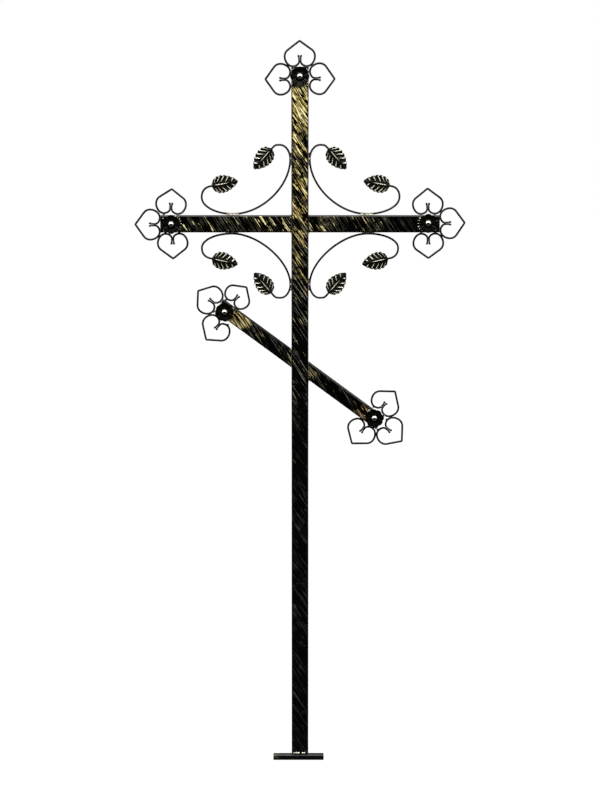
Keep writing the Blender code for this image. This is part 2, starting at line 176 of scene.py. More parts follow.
# Gold rubbed over the leaf's pleats and midrib; starts and stops say from where and over how much
LEAF_BAND_WIDENING = 0.22
LEAF_BAND_EDGE = 0.13
LEAF_BAND_START = (0.16, 0.12)
LEAF_BAND_STOP = (0.86, 0.06)
LEAF_BACK_RUB = 0.7
RIDGE_RUB = 0.6
RIDGE_RUB_WIDTH = 0.0010
MIDRIB_RUB = 0.62
MIDRIB_RUB_START = (0.002, 0.010)
MIDRIB_RUB_STOP = (0.042, 0.020)
MIDRIB_SIDES = 10

# The leaf's midrib wire: distance from the scroll's end, how far it stands to the front, and its thickness
MIDRIB = (
    (-0.010, 0, WIRE),
    (-0.004, 0, WIRE),
    (0.0, 0.0006, WIRE),
    (0.006, 0.0030, 0.0032),
    (0.018, 0.0028, 0.0023),
    (0.034, 0.0023, 0.0019),
    (0.050, 0.0018, 0.0016),
    (0.064, 0.0012, 0.0013),
    (0.0755, 0.0007, 0.0009),
)

# Stamped rosette: its place in from the end and off the middle of the tube
ROSETTE_PLACES = {
    "top": (0.0285, -0.0006),
    "left": (0.032, -0.002),
    "right": (0.034, -0.001),
    "slanted_upper": (0.025, -0.006),
    "slanted_lower": (0.0245, -0.003),
}
ROSETTE_RADIUS = 0.0275
ROSETTE_PETALS = 8
ROSETTE_NOTCH = 0.89
ROSETTE_LOBE_POWER = 0.55
ROSETTE_SEAT_RADIUS = 0.017
ROSETTE_SHEET = 0.0018
ROSETTE_RIM_RISE = 0.0065
PETAL_COLUMNS = 16
PETAL_ROWS = 19
PETAL_CREASE = 0.0014
PETAL_CREASE_POWER = 1.2
PETAL_CUP = 0.0004
PETAL_CUP_POWER = 1.5
PETAL_RUB = 0.55
PETAL_RUB_START = (0.86, 0.10)
RIM_RUB = 0.4
BACK_ROWS = 4
PETAL_JOIN = 0.00002

# How far the petals' rolled rim draws in and drops back, in shares of the sheet
RIM_ROLL = ((0.26, 0.28), (0.40, 0.80))

# The rosette's stud, which is a dome on a short neck
DOME_RADIUS = 0.0088
DOME_RISE = 0.0110
DOME_BASE_RISE = 0.0045
DOME_SIDES = 32
DOME_STEPS = 12
DOME_UNDERCUT = 20
STUD_SEAT_RISE = 0.0030
STUD_SEAT_RADIUS = 0.0035
STUD_NECK = DOME_RADIUS - 0.0004

# Rise of the rosette's dish at each radius
PETAL_ROOT = DOME_RADIUS * 0.6
DISH_RADII = (PETAL_ROOT, DOME_RADIUS, 0.0135, ROSETTE_RADIUS)
DISH_RISES = (0.0046, 0.0042, 0.0030, 0.0062)

# Weld drops round each rosette, in degrees from its tube's own heading
ROSETTE_DROPS = {
    "top": (-132, -48, -38, 42, 52, 128, 150),
    "left": (-150, 104, 118, 132, 146, 160, 176, 196, 212, 228, 244, -40, 36),
    "right": (-150, 104, 120, 134, 148, 162, 180, 196, 214, 232, -44, 44),
    "slanted_upper": (120, 150, 205, 240),
    "slanted_lower": (130, 160, 200, -40),
}
ROSETTE_DROP_OUT = 0.0006
ROSETTE_DROP_IN = 0.004
ROSETTE_DROP_SINK = 0.0004
ROSETTE_DROP_REACH = 0.0012
TUBE_RIM = 0.002

# Weld beads: drop radius, spacing and seed
BEADS = {
    "heart_weld_lumps": (0.0034, 0.0018, 3),
    "scroll_weld_beads": (0.0022, 0.0024, 5),
    "scroll_weld_lumps": (0.0026, 0.0026, 6),
    "rosette_weld_beads": (0.0016, 0.0020, 11),
    "slanted_weld_beads": (0.0029, 0.0024, 8),
    "crossing_weld_beads": (0.0026, 0.0026, 7),
    "crossing_weld_lumps": (0.0019, 0.0026, 10),
    "foot_weld_bead": (0.0022, 0.0022, 9),
}
DROP_SMALLEST = (0.75, 0.75, 0.60)
DROP_LARGEST = (1.20, 1.10, 0.95)
DROP_ROUNDNESS = 2
HEART_LOBE_WELD = 0.0005
HEART_WAIST_WELD = 0.017
HEART_WELD_REACH = 0.0022
CROSSBAR_TOUCH_REACH = 0.017
UPRIGHT_TOUCH_REACH = 0.016
UPRIGHT_TOUCH_DOT = (0.0035, 0.0005)
SEAM_OUT = 0.00045
SEAM_SHORT = 0.004
BUTT_SINK = 0.0004
BUTT_REACH = 0.023
SLANTED_WELD_OUT = 0.0014
SLANTED_WELD_RISE = 0.0006
SLANTED_WELD_DEPTHS = (0.006, 0.011)
FOOT_WELD_STRETCHES = ((-0.019, -0.003), (0.007, 0.014))
FOOT_WELD_PROUD = 0.0012
FOOT_WELD_RISE = 0.0004

# Brushwork of each tube by the share of its length: how heavily it is brushed, how golden and how brown
# the strokes are, and how strong the hair lines between them. Reach makes the strokes shorter, patchy
# more uneven, shine less golden, and gloss makes the enamel mirror more
UPRIGHT_BRUSHWORK = {
    "cover": (
        (0.0, 0.05), (0.47, 0.06), (0.55, 0.14), (0.66, 0.22), (0.70, 0.30), (0.73, 0.50), (0.79, 0.46),
        (0.80, 0.74), (0.812, 0.50), (0.845, 0.60), (0.865, 0.32), (0.90, 0.58), (0.925, 0.86),
        (0.975, 0.90), (0.985, 0.40),
    ),
    "golden": ((0.0, 0.0), (0.50, 0.06), (0.58, 0.35), (0.66, 0.45), (0.75, 0.8), (0.82, 1.0)),
    "brown": (
        (0.0, 0.0), (0.5, 0.0), (0.56, 0.35), (0.70, 0.45), (0.76, 0.3), (0.80, 0.35), (0.83, 0.1),
        (0.88, 0.0),
    ),
    "hair_lines": (
        (0.0, 0.15), (0.40, 0.25), (0.44, 0.06), (0.51, 0.10), (0.56, 0.7), (0.60, 1.0), (0.70, 1.0),
        (0.76, 0.6), (0.84, 0.3),
    ),
    "reach": 20,
    "patchy": 2.0,
}
CROSSBAR_BRUSHWORK = {
    "cover": (
        (0.0, 0.06), (0.09, 0.16), (0.14, 0.22), (0.20, 0.06), (0.27, 0.14), (0.33, 0.34), (0.39, 0.22),
        (0.46, 0.36), (0.54, 0.28), (0.63, 0.18), (0.70, 0.18), (0.80, 0.10), (1.0, 0.06),
    ),
    "golden": ((0.0, 0.6), (0.1, 0.9), (0.70, 0.9), (0.85, 0.5)),
    "brown": ((0.0, 0.0), (0.4, 0.0), (0.62, 0.1), (0.74, 0.6), (0.82, 0.1)),
    "hair_lines": ((0.0, 0.15), (0.7, 0.35), (1.0, 0.15)),
    "reach": 13,
    "patchy": 1.8,
    "shine": 0.10,
}
SLANTED_BRUSHWORK = {
    "cover": (
        (0.0, 0.30), (0.08, 0.90), (0.145, 0.90), (0.18, 0.30), (0.24, 0.16), (0.38, 0.12), (0.42, 0.40),
        (0.45, 0.40), (0.55, 0.45), (0.60, 0.24), (0.84, 0.14), (0.88, 0.60), (0.93, 0.60), (0.96, 0.2),
    ),
    "golden": (
        (0.0, 0.8), (0.15, 0.8), (0.22, 0.35), (0.42, 0.3), (0.50, 0.7), (0.60, 0.3), (0.88, 0.3),
        (0.93, 0.8),
    ),
    "brown": ((0.0, 0.2), (0.13, 0.5), (0.2, 0.0), (0.86, 0.1), (0.92, 0.6)),
    "hair_lines": ((0.0, 0.2), (0.3, 0.35), (0.5, 0.6), (0.8, 0.35), (1.0, 0.2)),
    "reach": 17,
    "patchy": 1.4,
    "gloss": 0.14,
}

# Kinds of stroke: slant in degrees, fineness across, share of the reach along, detail, roughness, distortion
STROKE_KINDS = {
    "broad": (35, 205, 1.0, 3.0, 0.55, 0.25),
    "fine": (32, 420, 1.3, 2.0, 0.5, 0.15),
    "scratch": (39, 360, 1.4, 1.0, 0.5, 0.2),
    "hair": (33, 560, 1.0, 1.0, 0.5, 0.3),
}
STROKE_DEPTH = 16
HAIR_REACH = 9
PATCH_SCALE = 34
BROAD_SHARE = 0.55
UNBRUSHED_LEVEL = 0.66
COVER_SPREAD = 0.24
PLAINER_BEHIND = 0.35
STROKE_EDGE = (-0.006, 0.016)
SCRATCH_EDGE = (0.56, 0.61)
SCRATCH_SHARE = 0.92
HAIR_EDGE = (0.615, 0.665)
HAIR_PATCHES = (0.38, 0.56)
HAIR_FAINTEST = 0.25
THIN_GOLD = -0.06
FINE_LIFT = 0.5
BROWN_SHARE = 0.6
NOISE_MIDDLE = 0.5
NOISE_SPREAD = (0.3, 0.7)
NOISE_CORE = (0.35, 0.65)

# How square to the front or back a face of the tube is before the brush reaches it
FLAT_FACING = 0.985
CORNER_FACING = 0.90
SIDE_FACING = (0.10, 0.30)

# Enamel and gold
BLACK = (0.0004, 0.0004, 0.0003)
STROKE_GREY = (0.030, 0.030, 0.028)
STROKE_BROWN = (0.20, 0.085, 0.022)
HAIR_GREY = (0.17, 0.175, 0.165)
HAIR_GOLD = (0.42, 0.39, 0.25)
GOLD_SHADES = (
    (0.0, (0.028, 0.018, 0.004)),
    (0.35, (0.12, 0.085, 0.018)),
    (0.62, (0.40, 0.305, 0.060)),
    (0.88, (0.70, 0.585, 0.185)),
    (1.0, (0.92, 0.83, 0.44)),
)

# Studio
FLOOR_REACH = 60
FLOOR_DROP = 0.0005
FLOOR_GLOW = 0.90
SKY_FRONT_DARK = (-0.86, -0.70)
SKY_BACK_DARK = (0.45, 0.70)
SKY_CEILING = (0.40, 0.62)
CAMERA_PLACE = (0, -4.0, 1.604)
CAMERA_TILT = 7.3
CAMERA_LENS = 61.425
CAMERA_SENSOR = 36


def direction(heading):
    """Unit vector in the plane of the cross, heading degrees from +Z towards +X."""
    angle = math.radians(heading)
    return Vector((math.sin(angle), 0, math.cos(angle)))


def tube_end(side_depth, level, heading, length, width):
    """Middle of a tube's end face, its heading and its width."""
    return Vector((0, side_depth, level)) + direction(heading) * length, heading, width


TUBE_ENDS = {
    "top": tube_end(0, 0, 0, UPRIGHT_HEIGHT, TUBE),
    "left": tube_end(0, CROSSBAR_LEVEL, -90, CROSSBAR_LENGTH / 2, TUBE),
    "right": tube_end(0, CROSSBAR_LEVEL, 90, CROSSBAR_LENGTH / 2, TUBE),
    "slanted_upper": tube_end(SLANTED_DEPTH, SLANTED_LEVEL, SLANT_UP, SLANTED_LENGTH / 2, SLANTED_TUBE),
    "slanted_lower": tube_end(SLANTED_DEPTH, SLANTED_LEVEL, SLANT_DOWN, SLANTED_LENGTH / 2, SLANTED_TUBE),
}


def climb(value, start, run):
    """Share that is 0 up to the start and climbs evenly to 1 over the run."""
    return np.clip((value - start) / run, 0, 1)


def eased_climb(value, start, run):
    """The same with a soft beginning and end."""
    share = climb(value, start, run)
    return share * share * (3 - 2 * share)


def fill(node, **values):
    """Link or set a node's inputs, each called by its name or by i and its number."""
    for key, value in values.items():
        socket = node.inputs[int(key[1:])] if key[1:].isdigit() else node.inputs[key.replace("_", " ")]
        if isinstance(value, bpy.types.NodeSocket):
            node.id_data.links.new(value, socket)
        else:
            socket.default_value = value
    return node


def node_maker(tree):
    """A short way to add a node with its settings and inputs to a tree."""

    def add(kind, settings=None, **values):
        node = tree.nodes.new(kind)
        for key, value in (settings or {}).items():
            setattr(node, key, value)
        return fill(node, **values)

    return add


def new_material(name):
    """A new material with its shader, its way to add nodes and the place on the piece."""
    material = bpy.data.materials.new(name)
    material.use_nodes = True
    shader = material.node_tree.nodes["Principled BSDF"]
    add = node_maker(material.node_tree)
    return material, shader, add, add("ShaderNodeTexCoord").outputs["Object"]


def arithmetic(add, kind, first, second):
    """One sum of two values."""
    return add("ShaderNodeMath", {"operation": kind}, i0=first, i1=second).outputs[0]


def plus(add, first, second):
    """Two values together."""
    return arithmetic(add, "ADD", first, second)


def minus(add, first, second):
    """One value less another."""
    return arithmetic(add, "SUBTRACT", first, second)


def times(add, first, second):
    """One value scaled by another."""
    return arithmetic(add, "MULTIPLY", first, second)


def limits(add, value, between=(0.0, 1.0), to=(0.0, 1.0)):
    """Smooth step of a value from one pair of limits to another."""
    ends = dict(zip(("i1", "i2", "i3", "i4"), between + to))
    return add("ShaderNodeMapRange", {"interpolation_type": "SMOOTHSTEP"}, i0=value, **ends).outputs[0]


def ramp(add, value, stops):
    """Grey or coloured steps along a value."""
    node = add("ShaderNodeValToRGB", i0=value)
    elements = node.color_ramp.elements
    while len(elements) < len(stops):
        elements.new(0.5)
    for element, (place, shade) in zip(elements, stops):
        element.position = place
        element.color = (shade, shade, shade, 1) if isinstance(shade, float) else (*shade, 1)
    return node.outputs[0]


def blend_colour(add, share, below, above):
    """One colour laid over another by a share."""
    colours = [tone if isinstance(tone, bpy.types.NodeSocket) else (*tone, 1) for tone in (below, above)]
    return add("ShaderNodeMix", {"data_type": "RGBA"}, i0=share, i6=colours[0], i7=colours[1]).outputs[2]


def noise(add, place, scale, detail=3.0, roughness=0.6, distortion=0.0):
    """Noise at a place."""
    return add(
        "ShaderNodeTexNoise", i0=place, Scale=scale, Detail=detail, Roughness=roughness, Distortion=distortion
    ).outputs[0]


def bump(add, height, strength, distance):
    """Normals raised by a height."""
    return add("ShaderNodeBump", Strength=strength, Distance=distance, Height=height).outputs[0]


def along_tube(add, place, turn, start, length):
    """Share of the way along a tube, from the start of its own line."""
    turned = add("ShaderNodeMapping", i0=place, Rotation=(0, math.radians(turn), 0)).outputs[0]
    way = add("ShaderNodeSeparateXYZ", i0=turned).outputs["Z"]
    return arithmetic(add, "DIVIDE", minus(add, way, start), length)


def stroke_noise(add, place, kind, reach):
    """Noise drawn out along slanting strokes, which run on round the tube's corners."""
    slant, across, along, detail, roughness, distortion = STROKE_KINDS[kind]
    apart = add("ShaderNodeSeparateXYZ", i0=place).outputs
    round_corner = plus(add, apart["X"], apart["Y"])
    wrapped = add("ShaderNodeCombineXYZ", X=round_corner, Y=apart["Y"], Z=apart["Z"]).outputs[0]
    turned = add("ShaderNodeMapping", i0=wrapped, Rotation=(0, math.radians(slant), 0)).outputs[0]
    drawn = add("ShaderNodeMapping", i0=turned, Scale=(across, STROKE_DEPTH, along * reach)).outputs[0]
    return noise(add, drawn, 1.0, detail, roughness, distortion)


def brushed_faces(add):
    """Share of the brush on the front alone, and on all four flats of a tube with its corners left out."""
    facing = add("ShaderNodeSeparateXYZ", i0=add("ShaderNodeNewGeometry").outputs["Normal"]).outputs["Y"]
    front = limits(add, facing, (-FLAT_FACING, -CORNER_FACING), (1.0, 0.0))
    beside = limits(add, arithmetic(add, "ABSOLUTE", facing, 0.0), SIDE_FACING, (1.0, 0.0))
    behind = limits(add, facing, (CORNER_FACING, FLAT_FACING))
    return front, plus(add, front, plus(add, beside, behind))


def brushed_enamel(
    name, turn, start, length, cover, golden, brown, hair_lines, reach, patchy, shine=0.17, gloss=0.30
):
    """Black enamel with slanting strokes and hair lines, as the brushwork says along the tube."""
    material, shader, add, place = new_material(name)
    share = along_tube(add, place, turn, start, length)
    front, brushed = brushed_faces(add)
    patches = noise(add, place, PATCH_SCALE)
    broad = stroke_noise(add, place, "broad", reach)
    fine = stroke_noise(add, place, "fine", reach)
    mixed = plus(add, times(add, broad, BROAD_SHARE), times(add, fine, 1 - BROAD_SHARE))

    uneven = times(add, minus(add, patches, NOISE_MIDDLE), patchy)
    plainer = times(add, minus(add, 1.0, front), PLAINER_BEHIND)
    wanted = minus(add, plus(add, ramp(add, share, cover), uneven), plainer)
    over = minus(add, mixed, minus(add, UNBRUSHED_LEVEL, times(add, wanted, COVER_SPREAD)))
    scratch = limits(add, stroke_noise(add, place, "scratch", reach), SCRATCH_EDGE, (0.0, SCRATCH_SHARE))
    stroke = times(add, limits(add, over, STROKE_EDGE), times(add, brushed, minus(add, 1.0, scratch)))

    lifted = plus(add, over, times(add, minus(add, fine, NOISE_MIDDLE), FINE_LIFT))
    golden_share = ramp(add, share, golden)
    gold = ramp(add, limits(add, lifted, (THIN_GOLD, shine)), GOLD_SHADES)
    tone = blend_colour(add, golden_share, STROKE_GREY, gold)
    tone = blend_colour(add, times(add, ramp(add, share, brown), BROWN_SHARE), tone, STROKE_BROWN)

    hair = limits(add, stroke_noise(add, place, "hair", HAIR_REACH), HAIR_EDGE)
    hair = times(add, hair, ramp(add, share, hair_lines))
    hair = times(add, hair, limits(add, patches, HAIR_PATCHES, (HAIR_FAINTEST, 1.0)))
    hair_tone = blend_colour(add, golden_share, HAIR_GREY, HAIR_GOLD)
    under = blend_colour(add, times(add, hair, brushed), BLACK, hair_tone)
    fill(
        shader,
        Base_Color=blend_colour(add, stroke, under, tone),
        Metallic=times(add, stroke, 0.25),
        Roughness=plus(add, limits(add, patches, NOISE_SPREAD, (0.14, 0.24)), times(add, stroke, 0.25)),
        Specular_IOR_Level=gloss,
        Normal=bump(add, plus(add, mixed, times(add, stroke, 0.3)), strength=0.25, distance=0.0005),
    )
    return material


def wire_enamel():
    """Graphite black enamel over hammered wire, lighter in broad random patches: partly the enamel's uneven
    tone, partly a painted trace of the grey highlights along the wire.
    """
    material, shader, add, place = new_material("wire_enamel_satin")
    hammered = noise(add, place, 90, detail=2.0, roughness=0.5)
    broad = noise(add, place, 24, detail=2.0, roughness=0.5)
    graphite = (0.002, 0.002, 0.002)
    # Lighter graphite: uneven tone, and partly a painted highlight standing in for the wire's grey streaks
    lighter_graphite_and_painted_sheen = (0.016, 0.0155, 0.014)
    fill(
        shader,
        Base_Color=blend_colour(add, limits(add, broad, NOISE_CORE), graphite, lighter_graphite_and_painted_sheen),
        Metallic=0.15,
        Roughness=limits(add, broad, NOISE_SPREAD, (0.30, 0.44)),
        Specular_IOR_Level=0.12,
        Normal=bump(add, hammered, strength=0.15, distance=0.0004),
    )
    return material


def weld_enamel(name, edge):
    """Weld beads, with pale silvery gold over the black wherever the grain passes its edge: partly gold
    rubbed over the welds, partly painted highlights that the lumpy beads catch.
    """
    material, shader, add, place = new_material(name)
    spots = noise(add, place, 220)
    black = (0.004, 0.004, 0.003)
    # Pale silver gold: partly rubbed gold, partly a painted highlight on the beads
    silver_gold_and_painted_highlight = (0.92, 0.86, 0.66)
    fill(
        shader,
        Base_Color=blend_colour(add, limits(add, spots, edge), black, silver_gold_and_painted_highlight),
        Metallic=0.3,
        Roughness=limits(add, spots, NOISE_SPREAD, (0.46, 0.30)),
        Normal=bump(add, spots, strength=0.6, distance=0.0005),
    )
    return material


def leaf_enamel():
    """Black enamel with silver gold rubbed over the pleats, as the blade's own rubbed share says."""
    material, shader, add, place = new_material("leaf_enamel_rubbed")
    rubbed = add("ShaderNodeAttribute", {"attribute_name": "rubbed"}).outputs["Fac"]
    grain = noise(add, place, 420)
    uneven = times(add, minus(add, grain, NOISE_MIDDLE), 0.5)
    share = limits(add, plus(add, rubbed, uneven), (0.36, 0.60))
    black = (0.004, 0.004, 0.0035)
    olive_gold = (0.50, 0.46, 0.30)
    pale_gold = (0.86, 0.82, 0.66)
    gold = blend_colour(add, limits(add, grain, NOISE_CORE), olive_gold, pale_gold)
    fill(
        shader,
        Base_Color=blend_colour(add, share, black, gold),
        Metallic=limits(add, share, to=(0.0, 0.5)),
        Roughness=limits(add, grain, NOISE_SPREAD, (0.26, 0.40)),
        Specular_IOR_Level=limits(add, share, to=(0.08, 0.5)),
        Normal=bump(add, grain, strength=0.3, distance=0.0003),
    )
    return material


def petal_enamel():
    """Black enamel over the stamped petals, with a trace of gold on their raised rims."""
    material, shader, add, place = new_material("petal_enamel_gloss")
    rubbed = add("ShaderNodeAttribute", {"attribute_name": "rubbed"}).outputs["Fac"]
    grain = noise(add, place, 260)
    share = limits(add, plus(add, rubbed, minus(add, grain, NOISE_MIDDLE)), (0.58, 0.80))
    black = (0.0010, 0.0010, 0.0008)
    hazy_black = (0.006, 0.0055, 0.003)
    rim_gold = (0.50, 0.42, 0.22)
    dark = blend_colour(add, limits(add, grain, (0.45, 0.75)), black, hazy_black)
    fill(
        shader,
        Base_Color=blend_colour(add, share, dark, rim_gold),
        Metallic=limits(add, share, to=(0.0, 0.4)),
        Roughness=limits(add, grain, NOISE_SPREAD, (0.22, 0.34)),
        Specular_IOR_Level=0.07,
        Normal=bump(add, grain, strength=0.1, distance=0.0002),
    )
    return material


def stud_enamel():
    """The rosette's stud, polished until it mirrors the room."""
    material, shader, add, place = new_material("stud_enamel_polished")
    grain = noise(add, place, 180, detail=2.0, roughness=0.5)
    fill(
        shader,
        Base_Color=blend_colour(add, grain, (0.66, 0.65, 0.58), (0.80, 0.79, 0.72)),
        Metallic=1.0,
        Roughness=limits(add, grain, NOISE_SPREAD, (0.07, 0.13)),
    )
    return material


def foot_enamel():
    """Black enamel on the foot bar, worn to a dull olive in spots and most at its left end."""
    material, shader, add, place = new_material("foot_enamel_worn")
    grain = noise(add, place, 90, detail=4.0)
    across = add("ShaderNodeSeparateXYZ", i0=place).outputs["X"]
    left = limits(add, across, (FOOT_WORN_END, FOOT_WORN_END + FOOT_WORN_RUN), (1.0, 0.0))
    worn = limits(add, plus(add, grain, times(add, left, 0.22)), (0.60, 0.72))
    black = (0.002, 0.002, 0.002)
    dull_olive = (0.040, 0.034, 0.014)
    fill(
        shader,
        Base_Color=blend_colour(add, worn, black, dull_olive),
        Metallic=0.15,
        Roughness=limits(add, grain, NOISE_SPREAD, (0.18, 0.34)),
        Normal=bump(add, grain, strength=0.3, distance=0.0005),
    )
    return material


def new_tree(name, sockets):
    """An empty shape tree with its named inputs."""
    tree = bpy.data.node_groups.new(name, "GeometryNodeTree")
    tree.interface.new_socket("Shape", in_out="INPUT", socket_type="NodeSocketGeometry")
    for label, kind, value in sockets:
        socket = tree.interface.new_socket(label, in_out="INPUT", socket_type="NodeSocket" + kind)
        if value is not None:
            socket.default_value = value
    tree.interface.new_socket("Shape", in_out="OUTPUT", socket_type="NodeSocketGeometry")
    add = node_maker(tree)
    return tree, add, add("NodeGroupInput").outputs


def finish_tree(add, shape, finish):
    """The end of every shape tree: smooth faces, real copies and their finish."""
    smooth = add("GeometryNodeSetShadeSmooth", i0=shape).outputs[0]
    real = add("GeometryNodeRealizeInstances", i0=smooth).outputs[0]
    painted = add("GeometryNodeSetMaterial", i0=real, Material=finish).outputs[0]
    add("NodeGroupOutput", i0=painted)


def bent_wire_tree():
    """Round wire along a line, as thick as the line's own thickness says."""
    tree, add, given = new_tree("bent_wire", (("Sides", "Int", WIRE_SIDES), ("Finish", "Material", None)))
    line = add("GeometryNodeMeshToCurve", i0=given["Shape"]).outputs[0]
    thickness = add("GeometryNodeInputNamedAttribute", {"data_type": "FLOAT"}, i0="thickness").outputs[0]
    section = add("GeometryNodeCurvePrimitiveCircle", Resolution=given["Sides"], Radius=0.5).outputs[0]
    wire = add("GeometryNodeCurveToMesh", i0=line, i1=section, i2=thickness, Fill_Caps=True).outputs[0]
    finish_tree(add, wire, given["Finish"])
    return tree


def weld_bead_tree():
    """A bead of overlapping flattened drops along a line."""
    sockets = (
        ("Spacing", "Float", 0.0016),
        ("Drop", "Float", 0.0024),
        ("Seed", "Int", 1),
        ("Finish", "Material", None),
    )
    tree, add, given = new_tree("weld_bead", sockets)
    line = add("GeometryNodeMeshToCurve", i0=given["Shape"]).outputs[0]
    points = add("GeometryNodeCurveToPoints", {"mode": "LENGTH"}, i0=line, Length=given["Spacing"]).outputs
    drop = add("GeometryNodeMeshIcoSphere", Radius=given["Drop"], Subdivisions=DROP_ROUNDNESS).outputs[0]
    size = add("FunctionNodeRandomValue", {"data_type": "FLOAT_VECTOR"}, i0=DROP_SMALLEST, i1=DROP_LARGEST)
    fill(size, Seed=given["Seed"])
    drops = add("GeometryNodeInstanceOnPoints", i0=points["Points"], i2=drop, Rotation=points["Rotation"])
    fill(drops, Scale=size.outputs[0])
    finish_tree(add, drops.outputs[0], given["Finish"])
    return tree


def petal_ring_tree():
    """One petal repeated round the rosette's own depth axis and joined into one sheet."""
    sockets = (("Petals", "Int", ROSETTE_PETALS), ("Finish", "Material", None))
    tree, add, given = new_tree("petal_ring", sockets)
    spots = add("GeometryNodePoints", i0=given["Petals"]).outputs[0]
    number = add("GeometryNodeInputIndex").outputs[0]
    angle = times(add, number, arithmetic(add, "DIVIDE", math.tau, given["Petals"]))
    turn = add("ShaderNodeCombineXYZ", Y=angle).outputs[0]
    ring = add("GeometryNodeInstanceOnPoints", i0=spots, i2=given["Shape"], Rotation=turn).outputs[0]
    real = add("GeometryNodeRealizeInstances", i0=ring).outputs[0]
    joined = add("GeometryNodeMergeByDistance", i0=real, Distance=PETAL_JOIN).outputs[0]
    finish_tree(add, joined, given["Finish"])
    return tree


def in_scene(name, data):
    """A new object in the scene."""
    thing = bpy.data.objects.new(name, data)
    bpy.context.scene.collection.objects.link(thing)
    return thing


def grow(tree, start, **values):
    """The plain mesh that a shape tree makes from a start mesh."""
    carrier = in_scene(start.name, start)
    modifier = carrier.modifiers.new("shape", "NODES")
    modifier.node_group = tree
    for item in tree.interface.items_tree:
        if item.in_out == "INPUT" and item.name in values:
            modifier[item.identifier] = values[item.name]
    evaluated = carrier.evaluated_get(bpy.context.evaluated_depsgraph_get())
    mesh = bpy.data.meshes.new_from_object(evaluated)
    carrier.modifiers.remove(modifier)
    bpy.data.objects.remove(carrier)
    return mesh


def set_shares(mesh, name, shares):
    """Store a number for each point of a mesh."""
    values = np.array(shares, np.float32).ravel()
    mesh.attributes.new(name, "FLOAT", "POINT").data.foreach_set("value", values)


def line_mesh(lines):
    """Open lines of points, each line with the thickness at its points."""
    mesh = bpy.data.meshes.new("line")
    points = []
    edges = []
    widths = []
    for line, thickness in lines:
        first = len(points)
        points.extend(tuple(point) for point in line)
        edges.extend((first + step, first + step + 1) for step in range(len(line) - 1))
        widths.extend(thickness)
    mesh.from_pydata(points, edges, [])
    set_shares(mesh, "thickness", widths)
    return mesh


def wire_mesh(bent_wire, points, thickness, finish, sides=WIRE_SIDES):
    """Mesh of one wire along its points."""
    return grow(bent_wire, line_mesh([(points, thickness)]), Sides=sides, Finish=finish)


def dress(name, mesh, nodes, finish=None):
    """Put a finished mesh in the scene in place of the solids it stands for."""
    piece = in_scene(name, mesh)
    if finish is not None:
        mesh.materials.clear()
        mesh.materials.append(finish)
    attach(piece, "root")
    if nodes:
        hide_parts(*nodes)


def shape_mesh(shape, name, place=None):
    """Close a bmesh into a smooth mesh with its faces outwards."""
    if place is not None:
        bmesh.ops.transform(shape, matrix=place, verts=shape.verts)
    bmesh.ops.recalc_face_normals(shape, faces=shape.faces)
    mesh = bpy.data.meshes.new(name)
    shape.to_mesh(mesh)
    shape.free()
    mesh.shade_smooth()
    mesh.set_sharp_from_angle(angle=math.radians(SHARP_ANGLE))
    return mesh


def placed(origin, heading):
    """Matrix that carries a piece's own +Z to its heading in the plane of the cross."""
    return Matrix.Translation(origin) @ Matrix.Rotation(math.radians(heading), 4, "Y")


def rubbed_mesh(name, points, faces, shares):
    """A mesh with a rubbed share for each of its points."""
    mesh = bpy.data.meshes.new(name)
    mesh.from_pydata([tuple(point) for point in points], [], faces)
    set_shares(mesh, "rubbed", shares)
    return mesh


def grid_faces(rows, width):
    """Faces between the neighbouring rows of a grid of points."""
    starts = [row * width + column for row in range(rows) for column in range(width - 1)]
    return [(a, a + 1, a + width + 1, a + width) for a in starts]


def join_rings(shape, rings):
    """Faces between neighbouring rings of as many points each."""
    for lower, upper in zip(rings[:-1], rings[1:]):
        for index in range(len(lower)):
            shape.faces.new((lower[index - 1], lower[index], upper[index], upper[index - 1]))


def rounded_square(width, corner):
    """Outline of the tube's section, with its flats held flat beside each rounded corner."""
    inner = width / 2 - corner
    outline = []
    for quarter in range(4):
        start = 90 * quarter
        middle = math.radians(start + 45)
        centre = Vector((math.copysign(inner, math.cos(middle)), math.copysign(inner, math.sin(middle))))
        arc = []
        for step in range(CORNER_STEPS + 1):
            angle = math.radians(start + 90 * step / CORNER_STEPS)
            arc.append(centre + corner * Vector((math.cos(angle), math.sin(angle))))
        start_angle = math.radians(start)
        stop_angle = math.radians(start + 90)
        before = arc[0] + CORNER_HOLD * Vector((math.sin(start_angle), -math.cos(start_angle)))
        after = arc[-1] + CORNER_HOLD * Vector((-math.sin(stop_angle), math.cos(stop_angle)))
        outline += [before] + arc + [after]
    return outline


def tube_shape(width, length):
    """Square tube with closed, slightly eased ends, from the origin up its own +Z."""
    shape = bmesh.new()
    angles = [math.radians(90 * step / EASE_STEPS) for step in range(EASE_STEPS + 1)]
    eased = [(TUBE_EASE * (1 - math.sin(angle)), TUBE_EASE * (1 - math.cos(angle))) for angle in angles]
    levels = eased + [(0.0, TUBE_EASE + EASE_HOLD), (0.0, length - TUBE_EASE - EASE_HOLD)]
    levels += [(inset, length - rise) for inset, rise in reversed(eased)]
    rings = []
    for inset, level in levels:
        outline = rounded_square(width - 2 * inset, TUBE_CORNER - inset)
        rings.append([shape.verts.new((x, y, level)) for x, y in outline])
    join_rings(shape, rings)
    shape.faces.new(rings[0])
    shape.faces.new(rings[-1])
    return shape


def cut_at_upright(shape, side):
    """Cut a tube off where it butts against that side of the upright, and close it there."""
    every_part = shape.verts[:] + shape.edges[:] + shape.faces[:]
    cut = bmesh.ops.bisect_plane(
        shape, geom=every_part, plane_co=(side * UPRIGHT_SIDE, 0, 0), plane_no=(side, 0, 0), clear_inner=True
    )
    open_edges = [part for part in cut["geom_cut"] if isinstance(part, bmesh.types.BMEdge)]
    bmesh.ops.contextual_create(shape, geom=open_edges)


